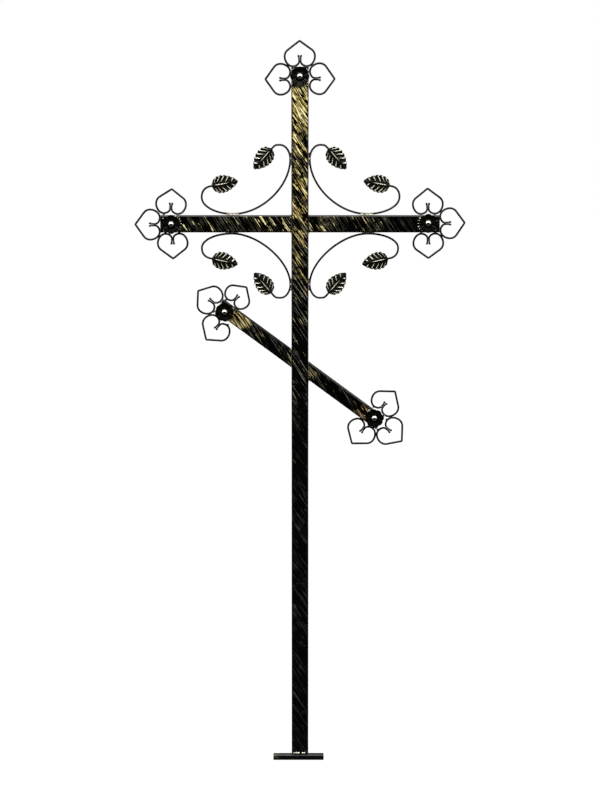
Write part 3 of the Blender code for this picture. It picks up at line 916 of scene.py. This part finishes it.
def make_tubes():
    """Upright, the crossbar's two arms and the slanted bar's two arms."""
    upright_finish = brushed_enamel("upright_enamel_brushed", 0, 0.0, UPRIGHT_HEIGHT, **UPRIGHT_BRUSHWORK)
    upright = shape_mesh(tube_shape(TUBE, UPRIGHT_HEIGHT), "upright_tube")
    dress("upright_tube", upright, ["upright"], upright_finish)

    crossbar_finish = brushed_enamel(
        "crossbar_enamel_brushed", -90, -CROSSBAR_LENGTH / 2, CROSSBAR_LENGTH, **CROSSBAR_BRUSHWORK
    )
    slanted_middle = SLANTED_LEVEL * math.cos(math.radians(SLANT_DOWN))
    slanted_start = slanted_middle - SLANTED_LENGTH / 2
    slanted_finish = brushed_enamel(
        "slanted_enamel_brushed", -SLANT_DOWN, slanted_start, SLANTED_LENGTH, **SLANTED_BRUSHWORK
    )
    crossbar = (TUBE, (0, 0, CROSSBAR_LEVEL), CROSSBAR_LENGTH / 2, crossbar_finish)
    slanted = (SLANTED_TUBE, (0, SLANTED_DEPTH, SLANTED_LEVEL), SLANTED_LENGTH / 2, slanted_finish)
    arms = (
        ("left_arm", -90, crossbar),
        ("right_arm", 90, crossbar),
        ("slanted_arm_upper", SLANT_UP, slanted),
        ("slanted_arm_lower", SLANT_DOWN, slanted),
    )
    for name, heading, (width, middle, reach, finish) in arms:
        shape = tube_shape(width, reach)
        bmesh.ops.transform(shape, matrix=placed(middle, heading), verts=shape.verts)
        cut_at_upright(shape, math.copysign(1, direction(heading).x))
        dress(name + "_tube", shape_mesh(shape, name + "_tube"), [name], finish)


def bend(route, heading, radius, turn, steps=BEND_STEPS):
    """Add an arc to the route, turning towards +X where turn is positive, and return the new heading."""
    reach = math.copysign(radius, turn)
    x, z = route[-1]
    start = math.radians(heading)
    centre_x = x + reach * math.cos(start)
    centre_z = z - reach * math.sin(start)
    for step in range(1, steps + 1):
        angle = math.radians(heading + turn * step / steps)
        route.append((centre_x - reach * math.cos(angle), centre_z + reach * math.sin(angle)))
    return heading + turn


def run(route, heading, length):
    """Add a straight stretch to the route."""
    x, z = route[-1]
    angle = math.radians(heading)
    for step in range(1, RUN_STEPS + 1):
        part = length * step / RUN_STEPS
        route.append((x + part * math.sin(angle), z + part * math.cos(angle)))


def heart_half(tip_half_angle, size):
    """Right half of a heart that stands on z = 0 with its axis up, from its flared end to its tip."""
    lobe_radius = LOBE_RADIUS * size
    waist_turn = 90 - LOBE_INNER_TURN
    lobe_place = (
        (WAIST_WIRE + GAP) / 2
        + lobe_radius * math.sin(math.radians(LOBE_INNER_TURN))
        + WAIST_BEND_RADIUS * (1 - math.cos(math.radians(waist_turn)))
    )
    lowest = (lobe_place, WIRE / 2 + GAP)
    inward = [lowest]
    heading = bend(inward, -90, lobe_radius, LOBE_INNER_TURN)
    heading = bend(inward, heading, WAIST_BEND_RADIUS, waist_turn)
    run(inward, heading, WAIST_LENGTH)
    bend(inward, heading, FLARE_RADIUS, FLARE_TURN, FLARE_STEPS)
    outward = [lowest]
    heading = bend(outward, 90, lobe_radius, -LOBE_OUTER_TURN)
    heading = bend(outward, heading, SIDE_RADIUS * size, -SIDE_TURN)
    heading = bend(outward, heading, SHOULDER_RADIUS * size, -(heading + tip_half_angle))
    tip_bend_width = TIP_RADIUS * math.cos(math.radians(tip_half_angle))
    run(outward, heading, (outward[-1][0] - tip_bend_width) / math.sin(math.radians(tip_half_angle)))
    bend(outward, heading, TIP_RADIUS, -(heading + 90), TIP_STEPS)
    return inward[:0:-1] + outward, lobe_place


def heart_line(tip_half_angle, size):
    """Middle line of a heart and its wire's thickness: drawn thin at the waist, beaded at both ends."""
    half, lobe_place = heart_half(tip_half_angle, size)
    half = np.array(half)
    from_end = np.concatenate(([0], np.cumsum(np.linalg.norm(np.diff(half, axis=0), axis=1))))
    thickness = WAIST_WIRE + (WIRE - WAIST_WIRE) * eased_climb(from_end, *WAIST_TAPER)
    thickness += (FLARE_BALL - WAIST_WIRE) * (1 - eased_climb(from_end, 0, FLARE_BALL_LENGTH))
    nose = climb(from_end, 0, FLARE_NOSE)
    thickness *= np.sqrt(np.clip(1 - (1 - nose) ** 2, NOSE_TIP_SHARE, 1))
    other = half[::-1] * (-1, 1)
    line = np.vstack((half, other[1:]))
    return line, np.concatenate((thickness, thickness[::-1][1:])), lobe_place


def in_plane(points, heading, origin):
    """Turned and placed points of a flat line, in the plane at the origin's depth."""
    across = np.array(direction(heading + 90))
    along = np.array(direction(heading))
    points = np.array(points)
    return points[:, :1] * across + points[:, 1:] * along + np.array(origin)


def heart_seat(node, points, thickness):
    """How far a heart's line is moved so that its wire fills its solid's box."""
    reach = np.array(thickness)[:, None] / 2
    own_middle = ((points - reach).min(0) + (points + reach).max(0)) / 2
    low, high = (np.array(corner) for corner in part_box(node))
    return (low + high) / 2 - own_middle


def make_hearts(bent_wire, wire_finish):
    """Fifteen wire hearts, each laid over its solid, and the places of the welds that hold them."""
    welds = []
    for end_name, (_, end_heading, _) in TUBE_ENDS.items():
        for quarter, (name, (lean, tip_half_angle, size)) in zip((0, -90, 90), HEARTS[end_name].items()):
            heading = end_heading + quarter + lean
            node = f"heart_{end_name}_{name}"
            line, thickness, lobe_place = heart_line(tip_half_angle, size)
            points = in_plane(line, heading, (0, 0, 0))
            seat = heart_seat(node, points, thickness)
            wire = wire_mesh(bent_wire, points + seat, thickness, wire_finish)
            dress(node + "_wire", wire, [node])
            held = [(-lobe_place, HEART_LOBE_WELD), (lobe_place, HEART_LOBE_WELD), (0, HEART_WAIST_WELD)]
            welds.extend(in_plane(held, heading, seat))
    return welds


def curl(start, start_way, end, end_way, fullness, steps):
    """Points of a smooth bend from start to end, leaving and arriving along the given ways."""
    chord = end - start
    first = start + start_way * fullness * abs(chord.dot(start_way))
    second = end - end_way * fullness * abs(chord.dot(end_way))
    points = []
    for step in range(1, steps + 1):
        t = step / steps
        s = 1 - t
        points.append(start * s ** 3 + first * 3 * s * s * t + second * 3 * s * t * t + end * t ** 3)
    return points


def scroll_route(sizes):
    """Middle line of the upper right scroll from the crossing's centre, with its end headings and touches."""
    touch = TUBE / 2 + WIRE / 2 + GAP
    on_upright = Vector((touch, 0, sizes["upright_reach"]))
    on_crossbar = Vector((sizes["crossbar_reach"], 0, touch))
    up = Vector((0, 0, 1))
    right = Vector((1, 0, 0))

    def from_touch(start, size):
        width, height = sizes[size]
        return start + Vector((width, 0, height))

    inner_end = from_touch(on_upright, "inner_end")
    outer_end = from_touch(on_crossbar, "outer_end")
    inner_way = direction(sizes["inner_heading"])
    outer_way = direction(sizes["outer_heading"])
    inner_root = inner_end - inner_way * LEAF_STEM
    outer_root = outer_end - outer_way * LEAF_STEM
    stops = (
        (inner_root, -inner_way),
        (from_touch(on_upright, "inner_curl"), -right),
        (on_upright, -up),
        (on_crossbar, right),
        (from_touch(on_crossbar, "outer_curl"), up),
        (outer_root, outer_way),
    )
    fullness = (CURL_FULLNESS, CURL_FULLNESS, sizes["sweep"], CURL_FULLNESS, CURL_FULLNESS)
    route = [inner_end, inner_root]
    for start, stop, full, steps in zip(stops, stops[1:], fullness, SCROLL_STEPS):
        route += curl(*start, *stop, full, steps)
    route.append(outer_end)
    return route, inner_way, outer_way, (on_upright, on_crossbar)


def leaf_half_width(along):
    """Half width of the leaf at a share of its length, before its teeth."""
    peak = LEAF_BASE_POWER / (LEAF_BASE_POWER + LEAF_TIP_POWER)
    fullest = peak ** LEAF_BASE_POWER * (1 - peak) ** LEAF_TIP_POWER
    return LEAF_WIDTH / 2 * along ** LEAF_BASE_POWER * (1 - along) ** LEAF_TIP_POWER / fullest


def leaf_grid():
    """Front and back points of the blade, row by row from its base, and how much gold is rubbed on each."""
    along = np.linspace(0, 1, LEAF_ROWS + 1)[:, None]
    across = np.linspace(-1, 1, 2 * LEAF_COLUMNS + 1)[None, :]
    out = np.abs(across)
    phase = along * LEAF_TEETH
    round_tooth = np.sqrt(np.abs(np.sin(math.pi * phase)))
    half_width = leaf_half_width(along) * (LEAF_NOTCH + (1 - LEAF_NOTCH) * round_tooth)
    half_width = np.maximum(half_width, LEAF_BASE / 2 * (1 - climb(along, 0, LEAF_BASE_RUN)))
    on_midrib = along * (1 - LEAF_VEIN_SLANT * (1 - along))
    x = across * half_width
    z = LEAF_LENGTH * (on_midrib + (along - on_midrib) * out ** LEAF_VEIN_BOW)

    crest = 0.5 - 0.5 * np.cos(2 * math.pi * phase)
    ridge = LEAF_RIDGE * (1 - LEAF_RIDGE_LOSS * z / LEAF_LENGTH) * (1 - out) ** LEAF_RIDGE_POWER
    pleat = LEAF_PLEAT * (2 * crest - 1) * out ** LEAF_PLEAT_POWER
    vein = LEAF_VEIN * climb(crest, 1 - LEAF_VEIN_WIDTH, LEAF_VEIN_WIDTH)
    vein = vein * climb(out, 0, LEAF_VEIN_START) * (1 - out ** 4)
    middle_y = LEAF_RIDGE / 2 - ridge - pleat - vein
    half_sheet = LEAF_SHEET / 2 * (1 - LEAF_EDGE_THINNING * out ** 3)
    points = [np.stack((x, middle_y + side * half_sheet, z), -1).reshape(-1, 3) for side in (-1, 1)]

    band = climb(crest, 1 - LEAF_BAND_WIDENING * out, LEAF_BAND_EDGE)
    band = band * climb(out, *LEAF_BAND_START)
    band = band * (1 - climb(out, *LEAF_BAND_STOP))
    rubbed_ridge = RIDGE_RUB * (1 - climb(out * half_width, 0, RIDGE_RUB_WIDTH))
    rubbed = np.maximum(band, rubbed_ridge).ravel()
    return np.concatenate(points), np.concatenate((rubbed, rubbed * LEAF_BACK_RUB))


def leaf_mesh(name, place):
    """Pleated blade with rounded teeth and a raised midrib, with its rubbed share at each point."""
    points, shares = leaf_grid()
    width = 2 * LEAF_COLUMNS + 1
    count = width * (LEAF_ROWS + 1)
    faces = []
    for front in grid_faces(LEAF_ROWS, width):
        faces.append(front)
        faces.append(tuple(count + index for index in reversed(front)))
    base = list(range(width - 1, 0, -1))
    left = list(range(0, count - width, width))
    tip = list(range(count - width, count - 1))
    right = list(range(count - 1, width - 1, -width))
    edge = base + left + tip + right
    for first, second in zip(edge, edge[1:] + edge[:1]):
        faces.append((first, second, count + second, count + first))
    mesh = rubbed_mesh(name, points, faces, shares)
    shape = bmesh.new()
    shape.from_mesh(mesh)
    bpy.data.meshes.remove(mesh)
    bmesh.ops.remove_doubles(shape, verts=shape.verts, dist=LEAF_JOIN)
    return shape_mesh(shape, name, place)


def midrib_mesh(bent_wire, wire_end, way, leaf_finish):
    """The wire that runs on from the scroll's end up the middle of its leaf, thinning towards the tip."""
    stem = [wire_end + way * along - Vector((0, proud, 0)) for along, proud, _ in MIDRIB]
    girth = [thickness for _, _, thickness in MIDRIB]
    rib = wire_mesh(bent_wire, stem, girth, leaf_finish, MIDRIB_SIDES)
    places = np.empty(len(rib.vertices) * 3, np.float32)
    rib.vertices.foreach_get("co", places)
    from_wire = (places.reshape(-1, 3) - np.array(wire_end, np.float32)) @ np.array(way, np.float32)
    rubbed = MIDRIB_RUB * climb(from_wire, *MIDRIB_RUB_START)
    set_shares(rib, "rubbed", rubbed * (1 - climb(from_wire, *MIDRIB_RUB_STOP)))
    return rib


def make_scrolls(bent_wire, wire_finish, leaf_finish):
    """Four wire scrolls with a leaf on each end, and the bright and dark lines of their welds."""
    centre = Vector((0, 0, CROSSBAR_LEVEL))
    corners = (
        ("upper_left", UPPER_LEFT_SCROLL, -1, 1),
        ("upper_right", UPPER_SCROLL, 1, 1),
        ("lower_left", LOWER_SCROLL, -1, -1),
        ("lower_right", LOWER_SCROLL, 1, -1),
    )
    bright = []
    dark = []
    for corner_name, sizes, flip_x, flip_z in corners:
        flip = Matrix.Diagonal((flip_x, 1, flip_z))
        route, inner_way, outer_way, (on_upright, on_crossbar) = scroll_route(sizes)
        points = [centre + flip @ point for point in route]
        wire = wire_mesh(bent_wire, points, [WIRE] * len(points), wire_finish)
        dress(f"scroll_{corner_name}_wire", wire, [f"scroll_{corner_name}"])
        wire_ends = (("inner", points[0], flip @ inner_way), ("outer", points[-1], flip @ outer_way))
        for leaf_name, wire_end, way in wire_ends:
            node = f"leaf_{corner_name}_{leaf_name}"
            heading = math.degrees(math.atan2(way.x, way.z))
            blade = leaf_mesh(node + "_blade", placed(wire_end + way * GAP, heading))
            dress(node + "_blade", blade, [node], leaf_finish)
            dress(node + "_midrib", midrib_mesh(bent_wire, wire_end, way, leaf_finish), [])

        upright_weld = centre + flip @ (on_upright - Vector((WIRE / 4, WIRE / 2, 0)))
        along = Vector((0, 0, flip_z * UPRIGHT_TOUCH_REACH))
        dark.append([upright_weld - along, upright_weld + along])
        bright.append([upright_weld - Vector((0, depth, 0)) for depth in UPRIGHT_TOUCH_DOT])
        crossbar_weld = centre + flip @ (on_crossbar - Vector((0, WIRE / 2, WIRE / 4)))
        along = Vector((flip_x * CROSSBAR_TOUCH_REACH, 0, 0))
        bright.append([crossbar_weld - along, crossbar_weld + along])
    return bright, dark


def petal_rows():
    """Radius, rise and rubbed share along each row of one petal: front, rolled rim, back and middle."""
    half = math.pi / ROSETTE_PETALS
    angles = np.linspace(-half, half, PETAL_COLUMNS + 1)
    bow = np.cos(angles * ROSETTE_PETALS / 2)
    lobe = np.clip(bow, 0, 1) ** ROSETTE_LOBE_POWER
    rim = ROSETTE_RADIUS * (ROSETTE_NOTCH + (1 - ROSETTE_NOTCH) * lobe)
    beside_crease = np.abs(np.sin(angles * ROSETTE_PETALS)) ** PETAL_CUP_POWER
    level = np.ones_like(bow)
    rows = []
    for step in range(PETAL_ROWS + 1):
        share = step / PETAL_ROWS
        radius = PETAL_ROOT + (rim - PETAL_ROOT) * share
        hollow = climb(radius, DOME_RADIUS, ROSETTE_RADIUS - DOME_RADIUS)
        crease = PETAL_CREASE * (1 - bow) ** PETAL_CREASE_POWER * hollow
        cup = PETAL_CUP * np.sin(math.pi * hollow) * beside_crease
        rise = np.minimum(np.interp(radius, DISH_RADII, DISH_RISES) - crease + cup, ROSETTE_RIM_RISE)
        rows.append((radius, rise, level * PETAL_RUB * climb(share, *PETAL_RUB_START)))
    edge_radius, edge_rise, _ = rows[-1]
    for drawn_in, drop in RIM_ROLL:
        radius = edge_radius - ROSETTE_SHEET * drawn_in
        rows.append((radius, edge_rise - ROSETTE_SHEET * drop, level * RIM_RUB))
    rim_radius, rim_rise, _ = rows[-1]
    for step in range(BACK_ROWS - 1, -1, -1):
        share = step / BACK_ROWS
        radius = ROSETTE_SEAT_RADIUS + (rim_radius - ROSETTE_SEAT_RADIUS) * share
        rows.append((radius, np.maximum(rim_rise * share, 0.0), level * 0))
    rows.append((level * 0, level * 0, level * 0))
    return angles, rows


def rosette_sector(name):
    """One petal's sector of the sheet round the rosette's centre, facing the front."""
    angles, rows = petal_rows()
    points = []
    for radius, rise, _ in rows:
        points.extend(zip(radius * np.sin(angles), -rise, radius * np.cos(angles)))
    faces = [tuple(reversed(face)) for face in grid_faces(len(rows) - 1, len(angles))]
    return rubbed_mesh(name, points, faces, [shares for _, _, shares in rows])


def dome_shape():
    """Rounded stud in the middle of the rosette."""
    shape = bmesh.new()
    profile = [(STUD_SEAT_RADIUS, STUD_SEAT_RISE), (STUD_NECK, STUD_SEAT_RISE)]
    for step in range(1, DOME_STEPS):
        angle = math.radians((90 + DOME_UNDERCUT) * step / DOME_STEPS - DOME_UNDERCUT)
        height = DOME_BASE_RISE + (DOME_RISE - DOME_BASE_RISE) * math.sin(angle)
        profile.append((DOME_RADIUS * math.cos(angle), height))
    angles = [math.tau * index / DOME_SIDES for index in range(DOME_SIDES)]
    rings = []
    for radius, rise in profile:
        rings.append([shape.verts.new((radius * math.sin(a), -rise, radius * math.cos(a))) for a in angles])
    join_rings(shape, rings)
    shape.faces.new(rings[0])
    top = shape.verts.new((0, -DOME_RISE, 0))
    for index in range(DOME_SIDES):
        shape.faces.new((rings[-1][index - 1], rings[-1][index], top))
    return shape


def make_rosettes(petal_ring, petal_finish, stud_finish):
    """Five stamped flowers on the tubes' front faces, and the lines of the drops that weld them down."""
    welds = []
    for end_name, (end, heading, width) in TUBE_ENDS.items():
        inset, offset = ROSETTE_PLACES[end_name]
        seat = end - direction(heading) * inset + direction(heading + 90) * offset
        seat.y = FRONT - GAP
        node = f"rosette_{end_name}"
        sheet = grow(petal_ring, rosette_sector(node), Petals=ROSETTE_PETALS, Finish=petal_finish)
        shape = bmesh.new()
        shape.from_mesh(sheet)
        petals = shape_mesh(shape, node + "_petals", placed(seat, heading))
        dress(node + "_petals", petals, [node], petal_finish)
        stud = shape_mesh(dome_shape(), node + "_stud", placed(seat, heading))
        dress(node + "_stud", stud, [], stud_finish)
        rim = ROSETTE_RADIUS + ROSETTE_DROP_OUT
        for turn in ROSETTE_DROPS[end_name]:
            out = direction(heading + turn)
            foot = seat + out * rim
            if abs((foot - end).dot(direction(heading + 90))) > width / 2 - TUBE_RIM:
                foot = seat + out * (rim - ROSETTE_DROP_IN)
            foot.y -= ROSETTE_DROP_SINK
            welds.append([foot - out * ROSETTE_DROP_REACH, foot + out * ROSETTE_DROP_REACH])
    return welds


def make_foot(finish):
    """Bar across the front of the upright's lower end, its edges worn round."""
    shape = bmesh.new()
    bmesh.ops.create_cube(shape, size=1.0)
    bmesh.ops.scale(shape, verts=shape.verts, vec=(FOOT_LENGTH, FOOT_DEPTH, FOOT_HEIGHT))
    bmesh.ops.bevel(
        shape, geom=shape.edges[:], offset=FOOT_EASE, segments=FOOT_EASE_STEPS, profile=0.5, affect="EDGES"
    )
    place = Matrix.Translation((FOOT_OFFSET, FRONT - GAP - FOOT_DEPTH / 2, FOOT_HEIGHT / 2))
    dress("foot_bar_worn", shape_mesh(shape, "foot_bar_worn", place), ["foot_bar"], finish)


def bead(name, weld_bead, lines, finish):
    """Weld beads along lines."""
    drop, spacing, seed = BEADS[name]
    start = line_mesh([(line, [0.0] * len(line)) for line in lines])
    dress(name, grow(weld_bead, start, Spacing=spacing, Drop=drop, Seed=seed, Finish=finish), [])


def make_welds(weld_bead, finish, lump_finish, heart_spots, scroll_lines, rosette_lines):
    """Beads where the tubes, wires, rosettes and foot bar are welded together."""
    heart_lines = [[(x, y + side * HEART_WELD_REACH, z) for side in (-1, 1)] for x, y, z in heart_spots]
    bead("heart_weld_lumps", weld_bead, heart_lines, lump_finish)
    bright_lines, dark_lines = scroll_lines
    bead("scroll_weld_beads", weld_bead, bright_lines, finish)
    bead("scroll_weld_lumps", weld_bead, dark_lines, lump_finish)
    bead("rosette_weld_beads", weld_bead, rosette_lines, finish)

    edge = TUBE / 2
    fall = math.radians(SLANTED_FALL)
    half_rise = edge * math.tan(fall) + SLANTED_TUBE / 2 / math.cos(fall) + SLANTED_WELD_RISE
    slanted_corners = []
    seams = []
    butts = []
    for side in (-1, 1):
        corner = (side * (edge + SLANTED_WELD_OUT), SLANTED_LEVEL - side * half_rise)
        slanted_corners.append([(corner[0], FRONT + depth, corner[1]) for depth in SLANTED_WELD_DEPTHS])
        x = side * (edge + SEAM_OUT)
        for end in (-1, 1):
            z = CROSSBAR_LEVEL + end * (edge + SEAM_OUT)
            seams.append([(x, depth, z) for depth in (SEAM_SHORT - edge, edge - SEAM_SHORT)])
        butts.append([(x, FRONT + BUTT_SINK, CROSSBAR_LEVEL + end * BUTT_REACH) for end in (-1, 1)])
    bead("slanted_weld_beads", weld_bead, slanted_corners, finish)
    bead("crossing_weld_beads", weld_bead, seams, finish)
    bead("crossing_weld_lumps", weld_bead, butts, lump_finish)

    foot_place = (FRONT - FOOT_WELD_PROUD, FOOT_HEIGHT + FOOT_WELD_RISE)
    foot_lines = [[(x, *foot_place) for x in stretch] for stretch in FOOT_WELD_STRETCHES]
    bead("foot_weld_bead", weld_bead, foot_lines, finish)


def make_stage():
    """Plain pale floor."""
    material, shader, add, place = new_material("pale_floor")
    grain = noise(add, place, 6, detail=4.0, roughness=0.5)
    grey = blend_colour(add, grain, (0.055, 0.055, 0.055), (0.065, 0.065, 0.065))
    seen = add("ShaderNodeLightPath").outputs["Is Camera Ray"]
    fill(
        shader,
        Base_Color=blend_colour(add, seen, (0.015, 0.015, 0.014), grey),
        Roughness=0.9,
        Specular_IOR_Level=0.0,
        Emission_Color=(1, 1, 1, 1),
        Emission_Strength=times(add, seen, FLOOR_GLOW),
    )
    signs = ((-1, -1), (1, -1), (1, 1), (-1, 1))
    corners = [(x * FLOOR_REACH, y * FLOOR_REACH, -FLOOR_DROP) for x, y in signs]
    mesh = bpy.data.meshes.new("studio_floor")
    mesh.from_pydata(corners, [], [(0, 1, 2, 3)])
    mesh.materials.append(material)
    floor = in_scene("studio_floor", mesh)


def area_light(name, place, target, width, height, power):
    """One soft box turned to its target."""
    data = bpy.data.lights.new(name, "AREA")
    data.shape = "RECTANGLE"
    data.size = width
    data.size_y = height
    data.energy = power
    light = in_scene(name, data)
    light.location = place
    light.rotation_euler = (Vector(target) - Vector(place)).to_track_quat("-Z", "Y").to_euler()
    light.visible_camera = False


def make_studio():
    """White surroundings, darker in front and behind than at the sides and above, and soft boxes."""
    world = bpy.data.worlds.new("white_studio")
    bpy.context.scene.world = world
    world.use_nodes = True
    add = node_maker(world.node_tree)
    way = add("ShaderNodeSeparateXYZ", i0=add("ShaderNodeTexCoord").outputs["Generated"]).outputs
    in_front = limits(add, way["Y"], SKY_FRONT_DARK, (0.004, 1.0))
    behind = limits(add, way["Y"], SKY_BACK_DARK, (1.0, 0.03))
    light_share = plus(add, times(add, in_front, behind), limits(add, way["Z"], SKY_CEILING, (0.0, 2.0)))
    grey = add("ShaderNodeCombineColor", Red=light_share, Green=light_share, Blue=light_share).outputs[0]
    seen = add("ShaderNodeLightPath").outputs["Is Camera Ray"]
    colour = blend_colour(add, seen, grey, (1.0, 1.0, 1.0))
    fill(world.node_tree.nodes["Background"], Color=colour, Strength=1.0)

    area_light("ceiling_soft_box", (-0.4, -2.4, 4.3), (0, 0, 1.5), width=3.2, height=1.8, power=130)
    area_light("left_edge_panel", (-2.5, 1.9, 1.4), (0, 0, 1.2), width=2.6, height=3.2, power=42)
    area_light("right_edge_panel", (2.5, 1.9, 1.4), (0, 0, 1.2), width=2.6, height=3.2, power=85)


def make_camera():
    """Camera at the photograph's height, distance and tilt."""
    data = bpy.data.cameras.new("photo_view")
    data.sensor_fit = "VERTICAL"
    data.sensor_height = CAMERA_SENSOR
    data.lens = CAMERA_LENS
    camera = in_scene("photo_view", data)
    camera.location = CAMERA_PLACE
    camera.rotation_euler = (math.radians(90 - CAMERA_TILT), 0, 0)
    bpy.context.scene.camera = camera
    bpy.context.scene.view_settings.view_transform = "Standard"


make_camera()
make_studio()
make_stage()
wire_finish = wire_enamel()
leaf_finish = leaf_enamel()
# Weld finishes: their pale spots are partly rubbed gold, partly painted highlights
weld_finish = weld_enamel("weld_enamel_rubbed_and_highlit", (0.40, 0.54))
lump_finish = weld_enamel("weld_enamel_black", (0.60, 0.68))
bent_wire = bent_wire_tree()
weld_bead = weld_bead_tree()
make_tubes()
heart_spots = make_hearts(bent_wire, wire_finish)
scroll_lines = make_scrolls(bent_wire, wire_finish, leaf_finish)
rosette_lines = make_rosettes(petal_ring_tree(), petal_enamel(), stud_enamel())
make_foot(foot_enamel())
make_welds(weld_bead, weld_finish, lump_finish, heart_spots, scroll_lines, rosette_lines)
